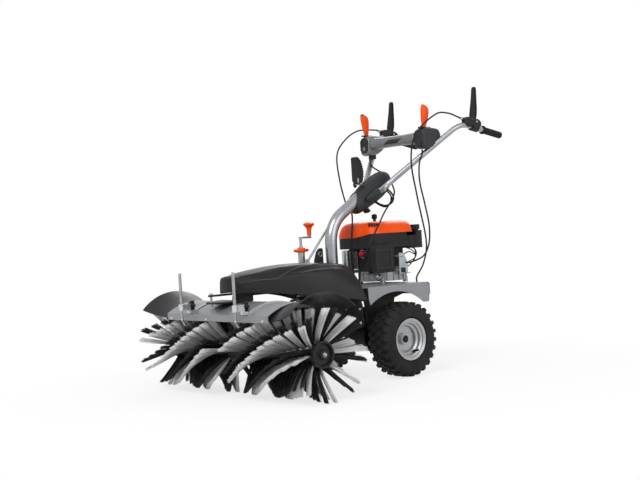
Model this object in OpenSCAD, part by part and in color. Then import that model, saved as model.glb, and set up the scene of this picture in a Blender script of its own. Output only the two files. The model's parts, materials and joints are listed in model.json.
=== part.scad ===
// Walk-behind power brush sweeper. Forward is -Y, left is +X, the ground is z = 0.
// Places named "back" are distances behind the brush axis.

/* [Brush] */
// Diameter over the bristle tips
brush_d = 350; // [320:1:356]
// Length of one half of the brush, from gearbox to end ring
half_len = 430; // [380:1:450]
// Outer diameter of the core that carries the strips
core_d = 76; // [60:1:84]
// Diameter of the end ring
ring_d = 100; // [90:1:120]
// Diameter of the brush shaft
shaft_d = 30; // [24:1:36]
// Strips round one half, in pairs of white and black
strips = 16; // [12:2:20]
// Turn from a white strip to the black strip behind it, in degrees
pair_turn = 14; // [12:1:16]
// Tufts along one strip
tufts = 12; // [8:1:12]
// Turn of a strip along one half, in degrees
strip_turn = 90; // [40:5:110]
// How far the end tufts lean outward at the tip
end_flare = 70; // [0:1:80]
// Thickness of a tuft at its tip
tuft_t = 13; // [6:1:16]

/* [Hood and mudguards] */
// Half width of the silver hood
hood_half = 335; // [300:1:350]
// Radius of the hood's arched top
hood_r = 260; // [240:1:290]
// Height of the hood's top above the brush tips
hood_gap = 16; // [12:1:30]
// Sheet thickness of hood and deck
sheet = 3; // [2:0.5:4]
// Height of the hood's front band
band_h = 26; // [18:1:34]
// Half depth of the hood, front band to rear band
hood_depth = 140; // [138:1:160]
// Half width over the mudguards' flared rims
guard_half = 490; // [470:1:520]
// Radius of the mudguards' flared rim
guard_rim_r = 231; // [215:1:240]
// Wall of the plastic mouldings
wall = 3.5; // [2.5:0.5:5]

/* [Accessory rods] */
// Distance of each rod from the middle
rod_x = 180; // [140:1:220]
// Distance of the rods ahead of the brush axis
rod_ahead = 172; // [168:1:185]
// Rod diameter
rod_d = 12; // [10:1:16]
// Height of the rod's top above the ground
rod_top = 491; // [450:1:540]
// Height where the rod's foot bends back
rod_foot = 304; // [298:1:310]
// Diameter over a star knob's lobes
star_d = 34; // [28:1:40]

/* [Wheels] */
// Tyre diameter
tyre_d = 315; // [300:1:330]
// Tyre width
tyre_w = 112; // [95:1:125]
// Diameter of the rim's flange
rim_d = 174; // [160:1:185]
// Distance of the wheel's middle from the machine's middle
wheel_x = 244; // [225:1:260]
// Axle shaft diameter
axle_d = 20; // [16:1:25]
// Distance of the axle behind the brush
wheelbase = 636; // [600:1:670]

/* [Deck and frame] */
// Height of the deck's top
deck_z = 385; // [380:1:395]
// Half width of the deck over its skirts
deck_half = 240; // [220:1:250]
// Rear end of the deck behind the brush
deck_back = 822; // [800:1:860]
// Radius of the wheel arch cut in a skirt
arch_r = 261; // [240:1:275]
// Height of the wheel arch's top
arch_top = 358; // [345:1:365]
// Depth of the skirts below the deck's top
skirt_h = 84; // [60:1:95]
// Distance of the frame's side plates from the middle
plate_x = 112; // [100:1:125]
// Thickness of the frame's plates
plate_t = 5; // [4:0.5:8]
// Half width of the front arm
arm_half = 36; // [34:1:44]
// Height of the front arm's top
arm_top = 440; // [430:1:446]

/* [Swivel head] */
// Outer diameter of the gearbox neck, the swivel pivot
neck_d = 60; // [50:1:64]
// Diameter of the upright drive shafts
drive_d = 20; // [16:1:24]
// Half width of the brush gearbox
gearbox_half = 42; // [38:1:46]
// Radius of the gearbox barrel
gearbox_r = 58; // [52:1:64]

/* [Belt drive] */
// Distance of the countershaft behind the brush
counter_back = 350; // [330:1:360]
// Diameter of the brush pulley
brush_pulley_d = 100; // [84:1:104]
// Diameter of the countershaft's lower pulley
counter_big_d = 116; // [96:1:120]
// Diameter of the two small pulleys
small_pulley_d = 70; // [60:1:80]
// Height of a pulley
pulley_h = 20; // [18:1:22]
// Level of the upper belt
upper_belt_z = 457; // [456:1:459]
// Level of the lower belt
lower_belt_z = 354; // [350:1:360]

/* [Bonnet] */
// Front end of the bonnet ahead of the brush axis
bonnet_ahead = 76; // [70:1:90]
// Rear end of the bonnet behind the brush
bonnet_back = 452; // [446:1:456]

/* [Engine] */
// Crankshaft's distance behind the brush
engine_back = 775; // [765:1:780]
// Half width of the engine's cowl
engine_half = 125; // [118:1:130]
// Height of the cowl's top
cowl_top = 656; // [650:1:675]
// Height of the seam between tank and cowl
cowl_seam = 588; // [580:1:594]
// Underside of the tank
tank_low = 541; // [535:1:548]
// Underside of the crankcase
case_low = 395; // [392:1:400]
// Crankshaft diameter
crank_d = 25; // [22:1:28]

/* [Column] */
// Distance of the column's foot behind the brush
column_back = 482; // [478:1:490]
// Outer diameter of the column tube
column_d = 52; // [44:1:54]
// Wall of the column tube
column_wall = 3; // [2:0.5:4]
// Height where the column starts to bend
bend_z = 570; // [540:1:590]
// Radius of the column's bend
bend_r = 150; // [130:1:180]
// Lean of the column above the bend, from upright
bend_a = 58; // [54:1:60]
// Distance of the handlebar pivot behind the brush
pivot_back = 738; // [725:1:750]
// Height of the handlebar pivot
pivot_z = 794; // [788:1:804]
// Length of the oval joint cover
cover_len = 218; // [200:1:230]
// Height of the oval joint cover
cover_h = 108; // [104:1:116]
// Slope of the oval joint cover
cover_tilt = 28; // [20:1:34]
// Half width of the oval joint cover
cover_half = 48; // [44:1:52]

/* [Handlebar] */
// Diameter of the handle tubes
handle_d = 25; // [22:1:28]
// Half width between the grips
handle_half = 265; // [250:1:285]
// Rise of the tubes' bend above the pivot
handle_rise = 274; // [250:1:290]
// Distance of the tubes' bend behind the pivot
handle_run = 312; // [290:1:330]
// Length of the tubes behind their bend
handle_tail = 257; // [240:1:270]
// Drop of the tubes' ends below their bend
handle_drop = 50; // [30:1:60]
// Length of a grip
grip_len = 122; // [100:1:130]
// Grip diameter
grip_d = 31; // [29:1:36]
// Length of a clutch lever from its pin
lever_len = 157; // [130:1:170]
// Diameter of the lever pins
pin_d = 8; // [6:1:9]

/* [Console] */
// Distance of the orange levers from the middle
console_lever_x = 182; // [178:1:186]
// Front of the console behind the brush
console_back = 868; // [860:1:874]
// Length of the console's end pods
pod_len = 124; // [118:1:130]
// Height of the pods' top above the handle tubes
pod_up = 135; // [130:1:140]
// Height of the console's end pods
pod_h = 97; // [88:1:104]
// Length of the orange levers above their pin
stick_len = 104; // [90:1:120]

/* [Jack] */
// Distance of the jack to the right of the middle
jack_x = 95; // [92:1:98]
// Distance of the jack behind the brush
jack_back = 394; // [392:1:396]
// Outer diameter of the jack tube
jack_d = 30; // [28:1:34]
// Diameter of the sliding leg
leg_d = 23; // [20:1:24]
// Diameter of the crank spindle
spindle_d = 12; // [10:1:14]
// Reach of the crank arm
crank_reach = 50; // [40:1:60]
// Diameter of the support wheel
support_d = 100; // [90:1:110]

/* [Fits] */
// Radial clearance of a running fit
run = 0.05; // [0.03:0.01:0.08]
// Gap between parts that move past each other
gap = 0.5; // [0.4:0.1:1]

/* [Hidden] */
$fn = 64;

// Driving places: the brush axis is set so that the whole machine is centred on y = 0
sleeve_r = rod_d / 2 + 5;
front_reach = rod_ahead + sleeve_r;
tail_slope = atan2(handle_drop, handle_tail);
rear_reach = pivot_back + handle_run + handle_tail + 4 + grip_d / 2 * sin(tail_slope);
brush_y = (front_reach - rear_reach) / 2;
function back(b) = brush_y + b;

brush_r = brush_d / 2;
brush_z = brush_r;
tyre_r = tyre_d / 2;
axle_y = back(wheelbase);
engine_y = back(engine_back);
counter_y = back(counter_back);

// Hood
hood_top = brush_d + hood_gap;
hood_z = hood_top - hood_r;
band_top = hood_z + sqrt(pow(hood_r, 2) - pow(hood_depth, 2));
band_low = band_top - band_h;
guard_in_r = hood_top - sheet - brush_z - 0.3;

// Gearbox neck and its head bearing
neck_r = neck_d / 2;
head_low = hood_top + 22;
neck_top = arm_top + 4;

// Column
column_y = back(column_back);
column_r = column_d / 2;
bend_end = [column_y + bend_r * (1 - cos(bend_a)), bend_z + bend_r * sin(bend_a)];
pivot_y = back(pivot_back);
foot_t = 6;
boss_r = column_r + 4;
boss_half = cover_half - 18;

// Handlebar path, left side
eye_x = cover_half + 14.5;
eye_half = 13.5;
handle_r = handle_d / 2;
handle_path = [
  [eye_x, pivot_y, pivot_z],
  [eye_x + 6, pivot_y + 40, pivot_z + 6],
  [handle_half - 3, pivot_y + handle_run, pivot_z + handle_rise],
  [handle_half, pivot_y + handle_run + handle_tail, pivot_z + handle_rise - handle_drop]];
tail_dir = (handle_path[3] - handle_path[2]) / norm(handle_path[3] - handle_path[2]);
grip_tip = handle_path[3] + tail_dir * 4;
grip_root = grip_tip - tail_dir * grip_len;

// Clutch lever pins sit above the tail of each handle tube
lever_along = 92;
lever_base = handle_path[2] + tail_dir * lever_along;
lever_pin = lever_base + [0, 0, 24];
lever_t = 8;
lever_lean = 4;

// Console lever pins
stick_y = back(console_back) + 34;
tube_run = (stick_y - handle_path[1][1]) / (handle_path[2][1] - handle_path[1][1]);
pod_top = handle_path[1][2] + tube_run * (handle_path[2][2] - handle_path[1][2]) + pod_up;
stick_z = pod_top - 14;
stick_t = 8;

// Jack
jack_y = back(jack_back);
jack_low = 300;
jack_top = 560;
crank_z = 600;
knob_z = 632;
leg_low = support_d + 14;

// Engine
case_half = 96;
case_front = engine_y - 120;
case_back = engine_y + 105;
sump_r = 104;
case_top = tank_low - 0.3;
tank_front = engine_y - 160;
tank_back = engine_y + 129;
cap_place = [84, engine_y + 132];
deck_low = deck_z - sheet;

// Repeated shapes

module rod_x(x1, x2, y, z, r) { translate([x1, y, z]) rotate([0, 90, 0]) cylinder(h = x2 - x1, r = r); }

module rod_y(x, y1, y2, z, r) { translate([x, y1, z]) rotate([-90, 0, 0]) cylinder(h = y2 - y1, r = r); }

module rod_z(x, y, z1, z2, r) { translate([x, y, z1]) cylinder(h = z2 - z1, r = r); }

// A straight bar between two points
module bar(a, b, r) {
  v = b - a;
  translate(a) rotate([0, acos(v[2] / norm(v)), atan2(v[1], v[0])]) cylinder(h = norm(v), r = r);
}

// A bent bar through points, with a ball a little proud at each bend
module bent_bar(points, r, ball) {
  for (i = [0:len(points) - 2]) bar(points[i], points[i + 1], r);
  for (i = [1:len(points) - 2]) translate(points[i]) sphere(r = ball);
}

// A profile drawn in y and z, extruded along x
module plate_x(x, t) { translate([x, 0, 0]) rotate([90, 0, 90]) linear_extrude(t) children(); }

// A profile drawn in radius and x, turned about the brush axis or the wheel axle
module turn_x(y, z) { translate([0, y, z]) rotate([0, 90, 0]) rotate_extrude() children(); }

module block(x1, x2, y1, y2, z1, z2) { translate([x1, y1, z1]) cube([x2 - x1, y2 - y1, z2 - z1]); }

// A block with rounded upright corners
module soft_block(x1, x2, y1, y2, z1, z2, r) {
  translate([0, 0, z1]) linear_extrude(z2 - z1) soft_rect(x1, x2, y1, y2, r);
}

module soft_rect(x1, x2, y1, y2, r) {
  translate([x1 + r, y1]) square([x2 - x1 - 2 * r, y2 - y1]);
  translate([x1, y1 + r]) square([x2 - x1, y2 - y1 - 2 * r]);
  for (x = [x1 + r, x2 - r], y = [y1 + r, y2 - r]) translate([x, y]) circle(r);
}

// A hexagon bolt head on a washer, along +z
module bolt_head(d) {
  cylinder(h = 1.5, r = d);
  translate([0, 0, 1.5]) cylinder(h = d * 0.6, r = d * 0.85, $fn = 6);
}

// A V pulley, middle at z
module pulley(y, z, d) {
  r = d / 2;
  h = pulley_h / 2;
  translate([0, y, z]) rotate_extrude()
    polygon([[drive_d / 2 + run, -h], [r, -h], [r, -8], [r - 10, -5.2], [r - 10, 5.2], [r, 8], [r, h],
      [drive_d / 2 + run, h]]);
}

// The path of a V belt round two pulleys, as a flat ring
module belt(y1, d1, y2, d2, z) {
  translate([0, 0, z - 4.9]) linear_extrude(9.8) difference() {
    hull() {
      translate([0, y1]) circle(d1 / 2 - 1);
      translate([0, y2]) circle(d2 / 2 - 1);
    }
    hull() {
      translate([0, y1]) circle(d1 / 2 - 9.7);
      translate([0, y2]) circle(d2 / 2 - 9.7);
    }
  }
}

// Smooth route through hand-chosen points, and a tube swept along it
function spline(p, i, t) =
  let (a = p[max(i - 1, 0)], b = p[i], c = p[i + 1], d = p[min(i + 2, len(p) - 1)])
  0.5 * (2 * b + (c - a) * t + (2 * a - 5 * b + 4 * c - d) * t * t + (3 * b - a - 3 * c + d) * t * t * t);
function route(p, n) = [for (i = [0:len(p) - 2], k = [0:n - 1]) spline(p, i, k / n), p[len(p) - 1]];
function unit(v) = v / norm(v);

module swept(points, r, n = 5, sides = 8) {
  c = route(points, n);
  m = len(c);
  ref = [0.93, -0.3, 0.2];
  pts = [for (i = [0:m - 1])
    let (t = unit(c[min(i + 1, m - 1)] - c[max(i - 1, 0)]), s = unit(cross(t, ref)), u = cross(s, t))
    for (k = [0:sides - 1]) c[i] + r * (cos(360 * k / sides) * s + sin(360 * k / sides) * u)];
  walls = [for (i = [0:m - 2], k = [0:sides - 1])
    let (a = i * sides + k, b = i * sides + (k + 1) % sides)
    each [[a, b, b + sides], [a, b + sides, a + sides]]];
  caps = [for (k = [1:sides - 2]) each [[0, k + 1, k],
    [(m - 1) * sides, (m - 1) * sides + k, (m - 1) * sides + k + 1]]];
  polyhedron(pts, concat(walls, caps));
}

// Deck and frame

module deck() {
  arch_y = axle_y - 20;
  front = back(426);
  rear = back(deck_back);
  low = deck_z - skirt_h;
  corner = 33;
  color("silver") difference() {
    union() {
      translate([0, 0, deck_low]) linear_extrude(sheet)
        polygon([[-deck_half, rear], [-deck_half, front + corner], [26 - deck_half, front + corner], [-174, front],
          [174, front], [deck_half - 26, front + corner], [deck_half, front + corner], [deck_half, rear]]);
      for (x = [-deck_half, deck_half - sheet]) plate_x(x, sheet)
        polygon([[front + corner, deck_z], [rear - 14, deck_z], [rear, deck_z - 20], [rear - 10, low],
          [front + corner + 12, low], [front + corner + 2, deck_z - 46]]);
      block(-deck_half, deck_half, rear - sheet, rear, deck_z - 52, deck_z);
    }
    rod_x(-deck_half - 1, deck_half + 1, arch_y, arch_top - arch_r, arch_r);
    rod_z(0, engine_y, deck_low - 1, deck_z + 1, crank_d / 2 + 14);
    block(-deck_half - 1, deck_half + 1, rear - 14, rear + 1, deck_z - 8, deck_z + 1);
  }
}

module main_frame() {
  front = back(418);
  rear = back(800);
  cross = plate_t + 1;
  drop = 48;
  color([0.13, 0.13, 0.14]) difference() {
    union() {
      // side plates that carry the transaxle
      for (x = [-plate_x - plate_t, plate_x]) plate_x(x, plate_t)
        polygon([[front, deck_low], [rear, deck_low], [rear, deck_low - 40], [axle_y + 90, deck_low - 60],
          [axle_y + 52, tyre_r - drop], [axle_y - 52, tyre_r - drop], [axle_y - 90, deck_low - 60],
          [front, deck_low - 60]]);
      // cross plate and the front arm, an upturned channel
      block(-plate_x - plate_t, plate_x + plate_t, front, front + cross, deck_low - 60, arm_top);
      block(-arm_half, arm_half, brush_y, front, arm_top - plate_t, arm_top);
      for (x = [-arm_half, arm_half - plate_t]) block(x, x + plate_t, brush_y, front, head_low, arm_top);
      rod_z(0, brush_y, head_low, arm_top, arm_half + 4);
      rod_z(0, counter_y, head_low, arm_top, drive_d / 2 + 12);
      block(-plate_x, plate_x, rear - 72, rear - 72 + plate_t, deck_low - 14, deck_low);
      // splash guards between the brush and the wheels
      for (s = [0, 1]) mirror([s, 0, 0]) translate([0, front + 10 + plate_t, 0]) rotate([90, 0, 0])
        linear_extrude(plate_t) polygon([[plate_x + 1, 374], [180, 374], [202, 346], [206, 330],
          [deck_half - 10, 322], [deck_half - 10, 232], [deck_half - 18, 224], [plate_x + 18, 224],
          [plate_x + 1, 240]]);
      // two clamps for the jack tube
      for (z = [deck_low - 50, deck_low + 24]) {
        rod_z(-jack_x, jack_y, z, z + 24, jack_d / 2 + 5);
        block(-jack_x - 12, -jack_x + 12, jack_y, front + 1, z, z + 24);
      }
      // guide arm of the swivel stop, ahead of the head
      block(-46, -22, brush_y - 128, brush_y - 20, head_low + 6, head_low + 13);
      rod_z(-34, brush_y - 128, head_low + 6, head_low + 13, 12);
    }
    rod_z(0, brush_y, head_low - 1, arm_top + 1, neck_r + run);
    rod_z(0, counter_y, head_low - 1, arm_top + 1, drive_d / 2 + run);
    rod_z(-jack_x, jack_y, deck_low - 60, arm_top, jack_d / 2 + run);
    rod_z(-34, brush_y - 128, head_low, head_low + 20, 5 + run);
    block(-plate_x + 14, plate_x - 30, front - 1, front + cross + 1, lower_belt_z - 18, lower_belt_z + 18);
    rod_x(-plate_x - plate_t - 1, plate_x + plate_t + 1, axle_y, tyre_r, axle_d / 2 + 12);
  }
}

// Sections of the bonnet: back, half width low and high, heights of edge, shoulder and top, flare of the edge
bonnet_rows = [
  [-bonnet_ahead, 48, 40, 405, 446, 462, 0],
  [-bonnet_ahead + 8, 54, 46, 402, 452, 470, 0],
  [0, 76, 64, 400, 458, 483, 0],
  [120, 92, 70, 389, 460, 497, 2],
  [230, 112, 84, 375, 466, 503, 6],
  [320, 134, 98, 360, 470, 502, 20],
  [390, 150, 112, 346, 468, 495, 44],
  [bonnet_back, 160, 124, 334, 458, 484, deck_half - 165]];
function bonnet_half(row, t) = [
  [row[1] + row[6] - t, row[3]], [row[1] + row[6] * 0.62 - 0.5 - t, (row[3] + row[4]) / 2 - 3],
  [row[1] - t - 2, row[4] - 6 - t / 2], [row[2] + (row[1] - row[2]) * 0.6 - t, row[4] + 2 - t],
  [row[2] - t, (row[4] + row[5]) / 2 + 3 - t], [row[2] * 0.78 - t, row[5] - 3 - t], [row[2] * 0.4, row[5] - t]];
function bonnet_ring(row, t, y) =
  let (h = bonnet_half(row, t), n = len(h))
  [for (i = [0:2 * n - 1]) let (q = i < n ? h[i] : h[2 * n - 1 - i]) [(i < n ? 1 : -1) * q[0], y, q[1]]];

module bonnet() {
  m = len(bonnet_rows);
  k = 2 * len(bonnet_half(bonnet_rows[0], 0));
  inner = m * k;
  pts = concat(
    [for (row = bonnet_rows) each bonnet_ring(row, 0, back(row[0]))],
    [for (i = [0:m - 1]) each bonnet_ring(bonnet_rows[i], wall, back(bonnet_rows[i][0]) + (i == 0 ? wall : 0))]);
  skin = [for (i = [0:m - 2], j = [0:k - 2])
    let (a = i * k + j, b = a + 1)
    each [[a, a + k, b + k], [a, b + k, b], [inner + a, inner + b + k, inner + a + k],
      [inner + a, inner + b, inner + b + k]]];
  edges = [for (i = [0:m - 2]) let (a = i * k, b = i * k + k - 1)
    each [[a, inner + a, inner + a + k], [a, inner + a + k, a + k],
      [b, b + k, inner + b + k], [b, inner + b + k, inner + b]]];
  front = [for (j = [1:k - 2]) each [[0, j, j + 1], [inner, inner + j + 1, inner + j]]];
  lip = [[0, k - 1, inner + k - 1], [0, inner + k - 1, inner]];
  last = (m - 1) * k;
  rear = [for (j = [0:k - 2]) let (a = last + j, b = last + j + 1)
    each [[a, inner + a, inner + b], [a, inner + b, b]]];
  color([0.16, 0.17, 0.18]) difference() {
    polyhedron(pts, [for (f = concat(skin, edges, front, lip, rear)) [f[2], f[1], f[0]]]);
    rod_z(-jack_x, jack_y, deck_z, jack_top, jack_d / 2 + 3);
    block(-50, -18, brush_y - bonnet_ahead - 10, brush_y - bonnet_ahead + 20, 380, head_low + 15);
    rod_z(brace_x, brace_foot[1], brace_foot[2] - 0.1, brace_foot[2] + 10, 10);
  }
  // upright cable guide behind the ridge
  color([0.16, 0.17, 0.18]) plate_x(-24, 12) difference() {
    polygon([[back(400), 489], [back(446), 482], [back(446), 550], [back(434), 556], [back(414), 540], [back(402), 508]]);
    translate([back(430), 530]) circle(8);
  }
}

module transaxle() {
  tube_end = plate_x + plate_t + 26;
  color([0.25, 0.25, 0.26]) difference() {
    union() {
      rod_x(-72, 72, axle_y, tyre_r, 60);
      rod_x(-tube_end, tube_end, axle_y, tyre_r, axle_d / 2 + 11);
      rod_x(-plate_x, plate_x, axle_y, tyre_r, axle_d / 2 + 28);
      block(-50, 50, axle_y - 30, axle_y + 30, tyre_r, tyre_r + 90);
      rod_z(0, axle_y, tyre_r + 80, tyre_r + 130, 22);
    }
    rod_x(-tube_end - 1, tube_end + 1, axle_y, tyre_r, axle_d / 2 + run);
  }
}

// Column, brace and joint cover

// The upper straight of the column is drawn down a little and starts just inside the bend
swage = 0.3;
swage_in = 2;

// The bent path of the column, from the foot to a length along its upper straight
module column_path(z1, r, upper) {
  rod_z(0, column_y, z1, bend_z, r);
  translate([0, column_y + bend_r, bend_z]) rotate([90, 0, -90]) rotate_extrude(angle = bend_a)
    translate([bend_r, 0]) circle(r);
  translate([0, bend_end[0], bend_end[1]]) rotate([-bend_a, 0, 0])
    translate([0, 0, -swage_in]) cylinder(h = upper + swage_in, r = r - swage);
}

module column() {
  collar_z = 466;
  straight = (pivot_y - bend_end[0]) * sin(bend_a) + (pivot_z - bend_end[1]) * cos(bend_a);
  color([0.72, 0.73, 0.74]) difference() {
    union() {
      soft_block(-52, 52, column_y - 30, column_y + 56, deck_z, deck_z + foot_t, 8);
      column_path(deck_z + foot_t, column_r, straight);
      rod_z(0, column_y, collar_z, collar_z + 12, column_r + 9);
      rod_x(-boss_half, boss_half, pivot_y, pivot_z, boss_r);
    }
    column_path(deck_z + foot_t, column_r - column_wall, straight - boss_r - 4);
    rod_x(-boss_half - 1, boss_half + 1, pivot_y, pivot_z, pin_d + run);
  }
}

brace_x = -38;
brace_foot = [brace_x, back(378), 496.5];
brace_end = on_cover(-cover_len / 2 - 0.4, 0);
brace_head = [brace_x, brace_end[0], brace_end[1]];

module column_brace() {
  knee = [brace_x, back(548), 690];
  color([0.7, 0.71, 0.72]) union() {
    rod_z(brace_x, brace_foot[1], brace_foot[2], brace_foot[2] + 16, 9);
    bar(brace_foot + [0, 0, 6], knee, 5);
    translate(knee) sphere(r = 6);
    bar(knee, brace_head, 5);
  }
}

module oval(grow) {
  r = cover_h / 2 + grow;
  s = cover_len / 2 - cover_h / 2;
  translate([pivot_y, pivot_z]) rotate(cover_tilt) {
    translate([-s, 0]) circle(r);
    translate([s, 0]) circle(r);
    translate([-s, -r]) square([2 * s, 2 * r]);
  }
}

module joint_cover() {
  color([0.2, 0.21, 0.22]) difference() {
    plate_x(-cover_half, 2 * cover_half) oval(0);
    plate_x(-cover_half + wall, 2 * (cover_half - wall)) oval(-wall);
    rod_x(-cover_half - 1, cover_half + 1, pivot_y, pivot_z, pin_d + gap);
    translate([0, bend_end[0], bend_end[1]]) rotate([-bend_a, 0, 0]) cylinder(h = 200, r = column_r + 1);
  }
  // ears and pin of the lock lever
  color([0.2, 0.21, 0.22]) {
    for (s = [0, 1]) mirror([s, 0, 0]) plate_x(lock_half + gap, 5) translate(lock_pin) rotate(cover_tilt) {
      circle(8);
      translate([-8, -12]) square([16, 12]);
    }
    rod_x(-lock_half - 5, lock_half + 5, lock_pin[0], lock_pin[1], pin_d / 2);
  }
}

// Jack, crank and support wheel

module jack_tube() {
  cap_low = jack_top - 18;
  color([0.55, 0.57, 0.58]) difference() {
    union() {
      rod_z(-jack_x, jack_y, jack_low, jack_top, jack_d / 2);
      // winged cap that the crank stands in
      rod_z(-jack_x, jack_y, cap_low, jack_top - 2, jack_d / 2 + 3);
      soft_block(-jack_x - 8, -jack_x + 8, jack_y - 30, jack_y + 30, cap_low + 5, cap_low + 12, 6);
    }
    rod_z(-jack_x, jack_y, jack_low - 1, jack_top - 12, leg_d / 2 + run);
    rod_z(-jack_x, jack_y, jack_low, jack_top + 1, spindle_d / 2 + run);
  }
}

module jack_leg() {
  fork = 17;
  color([0.5, 0.52, 0.53]) difference() {
    union() {
      rod_z(-jack_x, jack_y, leg_low, jack_low + 130, leg_d / 2);
      block(-jack_x - fork - 5, -jack_x + fork + 5, jack_y - 16, jack_y + 16, leg_low - 7, leg_low + 1);
      for (s = [-1, 1]) block(-jack_x + s * (fork + 2.5) - 2.5, -jack_x + s * (fork + 2.5) + 2.5,
        jack_y - 16, jack_y + 16, support_d / 2 - 12, leg_low);
      rod_x(-jack_x - fork - 5, -jack_x + fork + 5, jack_y, support_d / 2, pin_d / 2);
    }
    rod_z(-jack_x, jack_y, leg_low + 30, jack_low + 131, spindle_d / 2 + 0.3);
  }
}

module support_wheel() {
  w = 30;
  r = support_d / 2;
  color([0.15, 0.15, 0.16]) translate([-jack_x, jack_y, r]) rotate([0, 90, 0]) rotate_extrude()
    polygon([[pin_d / 2 + run, -w / 2], [r - 4, -w / 2], [r, -w / 2 + 5], [r, w / 2 - 5], [r - 4, w / 2],
      [pin_d / 2 + run, w / 2]]);
}

module crank_arm() {
  color([0.7, 0.71, 0.72]) union() {
    rod_z(-jack_x, jack_y, leg_low + 110, crank_z, spindle_d / 2);
    rod_z(-jack_x, jack_y, jack_top + 0.3, jack_top + 6, 10);
    soft_block(-jack_x - 8, -jack_x + 8, jack_y - 8, jack_y + crank_reach + 8, crank_z, crank_z + 8, 7.5);
    rod_z(-jack_x, jack_y + crank_reach, crank_z + 7, knob_z + 10, 5);
    rod_z(-jack_x, jack_y + crank_reach, crank_z + 7, crank_z + 11.7, 8);
  }
}

module crank_knob() {
  low = crank_z + 12;
  color([0.93, 0.4, 0.1]) translate([-jack_x, jack_y + crank_reach, 0]) rotate_extrude()
    polygon([[0, knob_z + 12], [5 + run, knob_z + 12], [5 + run, low], [9, low], [10, knob_z], [13, knob_z + 14],
      [24, knob_z + 25], [25, knob_z + 28], [22, knob_z + 32], [12, knob_z + 36], [0, knob_z + 37]]);
}

// Engine

module crankcase() {
  color([0.66, 0.67, 0.68]) difference() {
    union() {
      rod_z(0, engine_y, case_low, case_low + 40, sump_r);
      soft_block(-case_half + 8, case_half - 8, case_front + 8, engine_y + 48, case_low + 39, case_top, 24);
      for (x = [-70, 70], y = [engine_y - 70, engine_y + 70]) rod_z(x, y, deck_z, case_low + 12, 11);
      rod_y(25, case_front - 16, case_front + 20, primer_z, 20);
    }
    rod_z(0, engine_y, case_low - 1, case_top + 1, crank_d / 2 + run);
    rod_y(25, case_front - 17, case_front - 2, primer_z, 15 + run);
  }
}

primer_z = 518;

module primer_button() {
  color([0.75, 0.12, 0.1]) translate([25, case_front - 9, primer_z]) rotate([90, 0, 0]) rotate_extrude()
    polygon([[0, 0], [15, 0], [15, 13], [13, 18], [8, 21], [0, 22]]);
}

// Side view of the seam between tank and cowl, from the front: it rises on the left side
module below_seam(grow, depth) {
  translate([0, engine_y + 200, 0]) rotate([90, 0, 0]) linear_extrude(400)
    polygon([[-200, cowl_seam + grow], [0, cowl_seam + grow], [55, cowl_seam + 7 + grow], [100, cowl_seam + 15 + grow],
      [200, cowl_seam + 15 + grow], [200, cowl_seam - depth], [-200, cowl_seam - depth]]);
}

module fuel_tank() {
  z2 = cowl_seam + 20;
  color([0.13, 0.13, 0.14]) difference() {
    union() {
      intersection() {
        soft_block(-engine_half + 2, engine_half - 2, tank_front + 2, engine_y + 104, tank_low, z2, 42);
        below_seam(0, 100);
      }
      soft_block(-engine_half + 8, engine_half - 4, engine_y + 60, engine_y + 156, tank_low - 10, z2, 30);
      rod_z(cap_place[0], cap_place[1], z2 - 1, z2 + 16, 17);
    }
    rod_z(0, engine_y, tank_low - 12, z2 + 1, crank_d / 2 + 8);
    block(-100, 100, engine_y - 200, case_back + 1, tank_low - 15, tank_low);
    soft_block(-108, 108, engine_y - 108, engine_y + 98, cowl_seam - 6, z2 + 30, 38);
    soft_block(-engine_half - 1, engine_half + 1, engine_y + 40, engine_y + 105, cowl_seam, z2 + 30, 4);
    rod_z(cap_place[0], cap_place[1], cowl_seam, z2 + 17, 12);
  }
}

module fuel_cap() {
  z = cowl_seam + 36;
  color([0.12, 0.12, 0.13]) difference() {
    union() {
      rod_z(cap_place[0], cap_place[1], z - 12, z + 10, 21);
      for (i = [0:11]) translate([cap_place[0], cap_place[1], z - 12]) rotate(i * 30)
        translate([20.5, 0, 0]) cylinder(h = 20, r = 2.4, $fn = 16);
    }
    rod_z(cap_place[0], cap_place[1], z - 13, z + gap, 17 + run);
  }
}

// One ring of a rounded rectangle, drawn in from the engine's outline
function dome_ring(inset, z) =
  let (x = engine_half - inset, y1 = tank_front + inset, y2 = engine_y + 104 - inset * 0.6, r = 44 - inset * 0.3)
  [for (q = [[x - r, y2 - r, 0], [r - x, y2 - r, 90], [r - x, y1 + r, 180], [x - r, y1 + r, 270]], i = [0:4])
    [q[0] + r * cos(q[2] + i * 22.5), q[1] + r * sin(q[2] + i * 22.5), z]];

module dome(rows) {
  rings = [for (row = rows) each dome_ring(row[0], row[1])];
  n = 20;
  m = len(rows);
  polyhedron(rings, concat(
    [for (i = [0:m - 2], k = [0:n - 1]) let (a = i * n + k, b = i * n + (k + 1) % n)
      each [[a, a + n, b + n], [a, b + n, b]]],
    [for (k = [1:n - 2]) each [[0, k, k + 1], [(m - 1) * n, (m - 1) * n + k + 1, (m - 1) * n + k]]]));
}

module engine_cowl() {
  rope_z = cowl_top - 26;
  top = cowl_top;
  low = cowl_seam - 20;
  color([0.93, 0.4, 0.1]) difference() {
    union() {
      rod_x(-engine_half, -engine_half + 12, engine_y + 46, rope_z, 12);
      dome([[0, low], [1, cowl_seam + 14], [6, top - 34], [13, top - 18], [25, top - 7], [44, top - 1], [62, top]]);
    }
    dome([[wall, low - 1], [wall + 1, cowl_seam + 14], [wall + 6, top - 35], [wall + 13, top - 20],
      [wall + 25, top - 10], [wall + 44, top - 5], [wall + 62, top - 4]]);
    below_seam(0.4, 40);
    rod_x(-engine_half - 1, -engine_half + 20, engine_y + 46, rope_z, 3.5);
    rod_z(0, engine_y - 30, cowl_top - 9, cowl_top + 1, 4 + run);
  }
}

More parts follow.
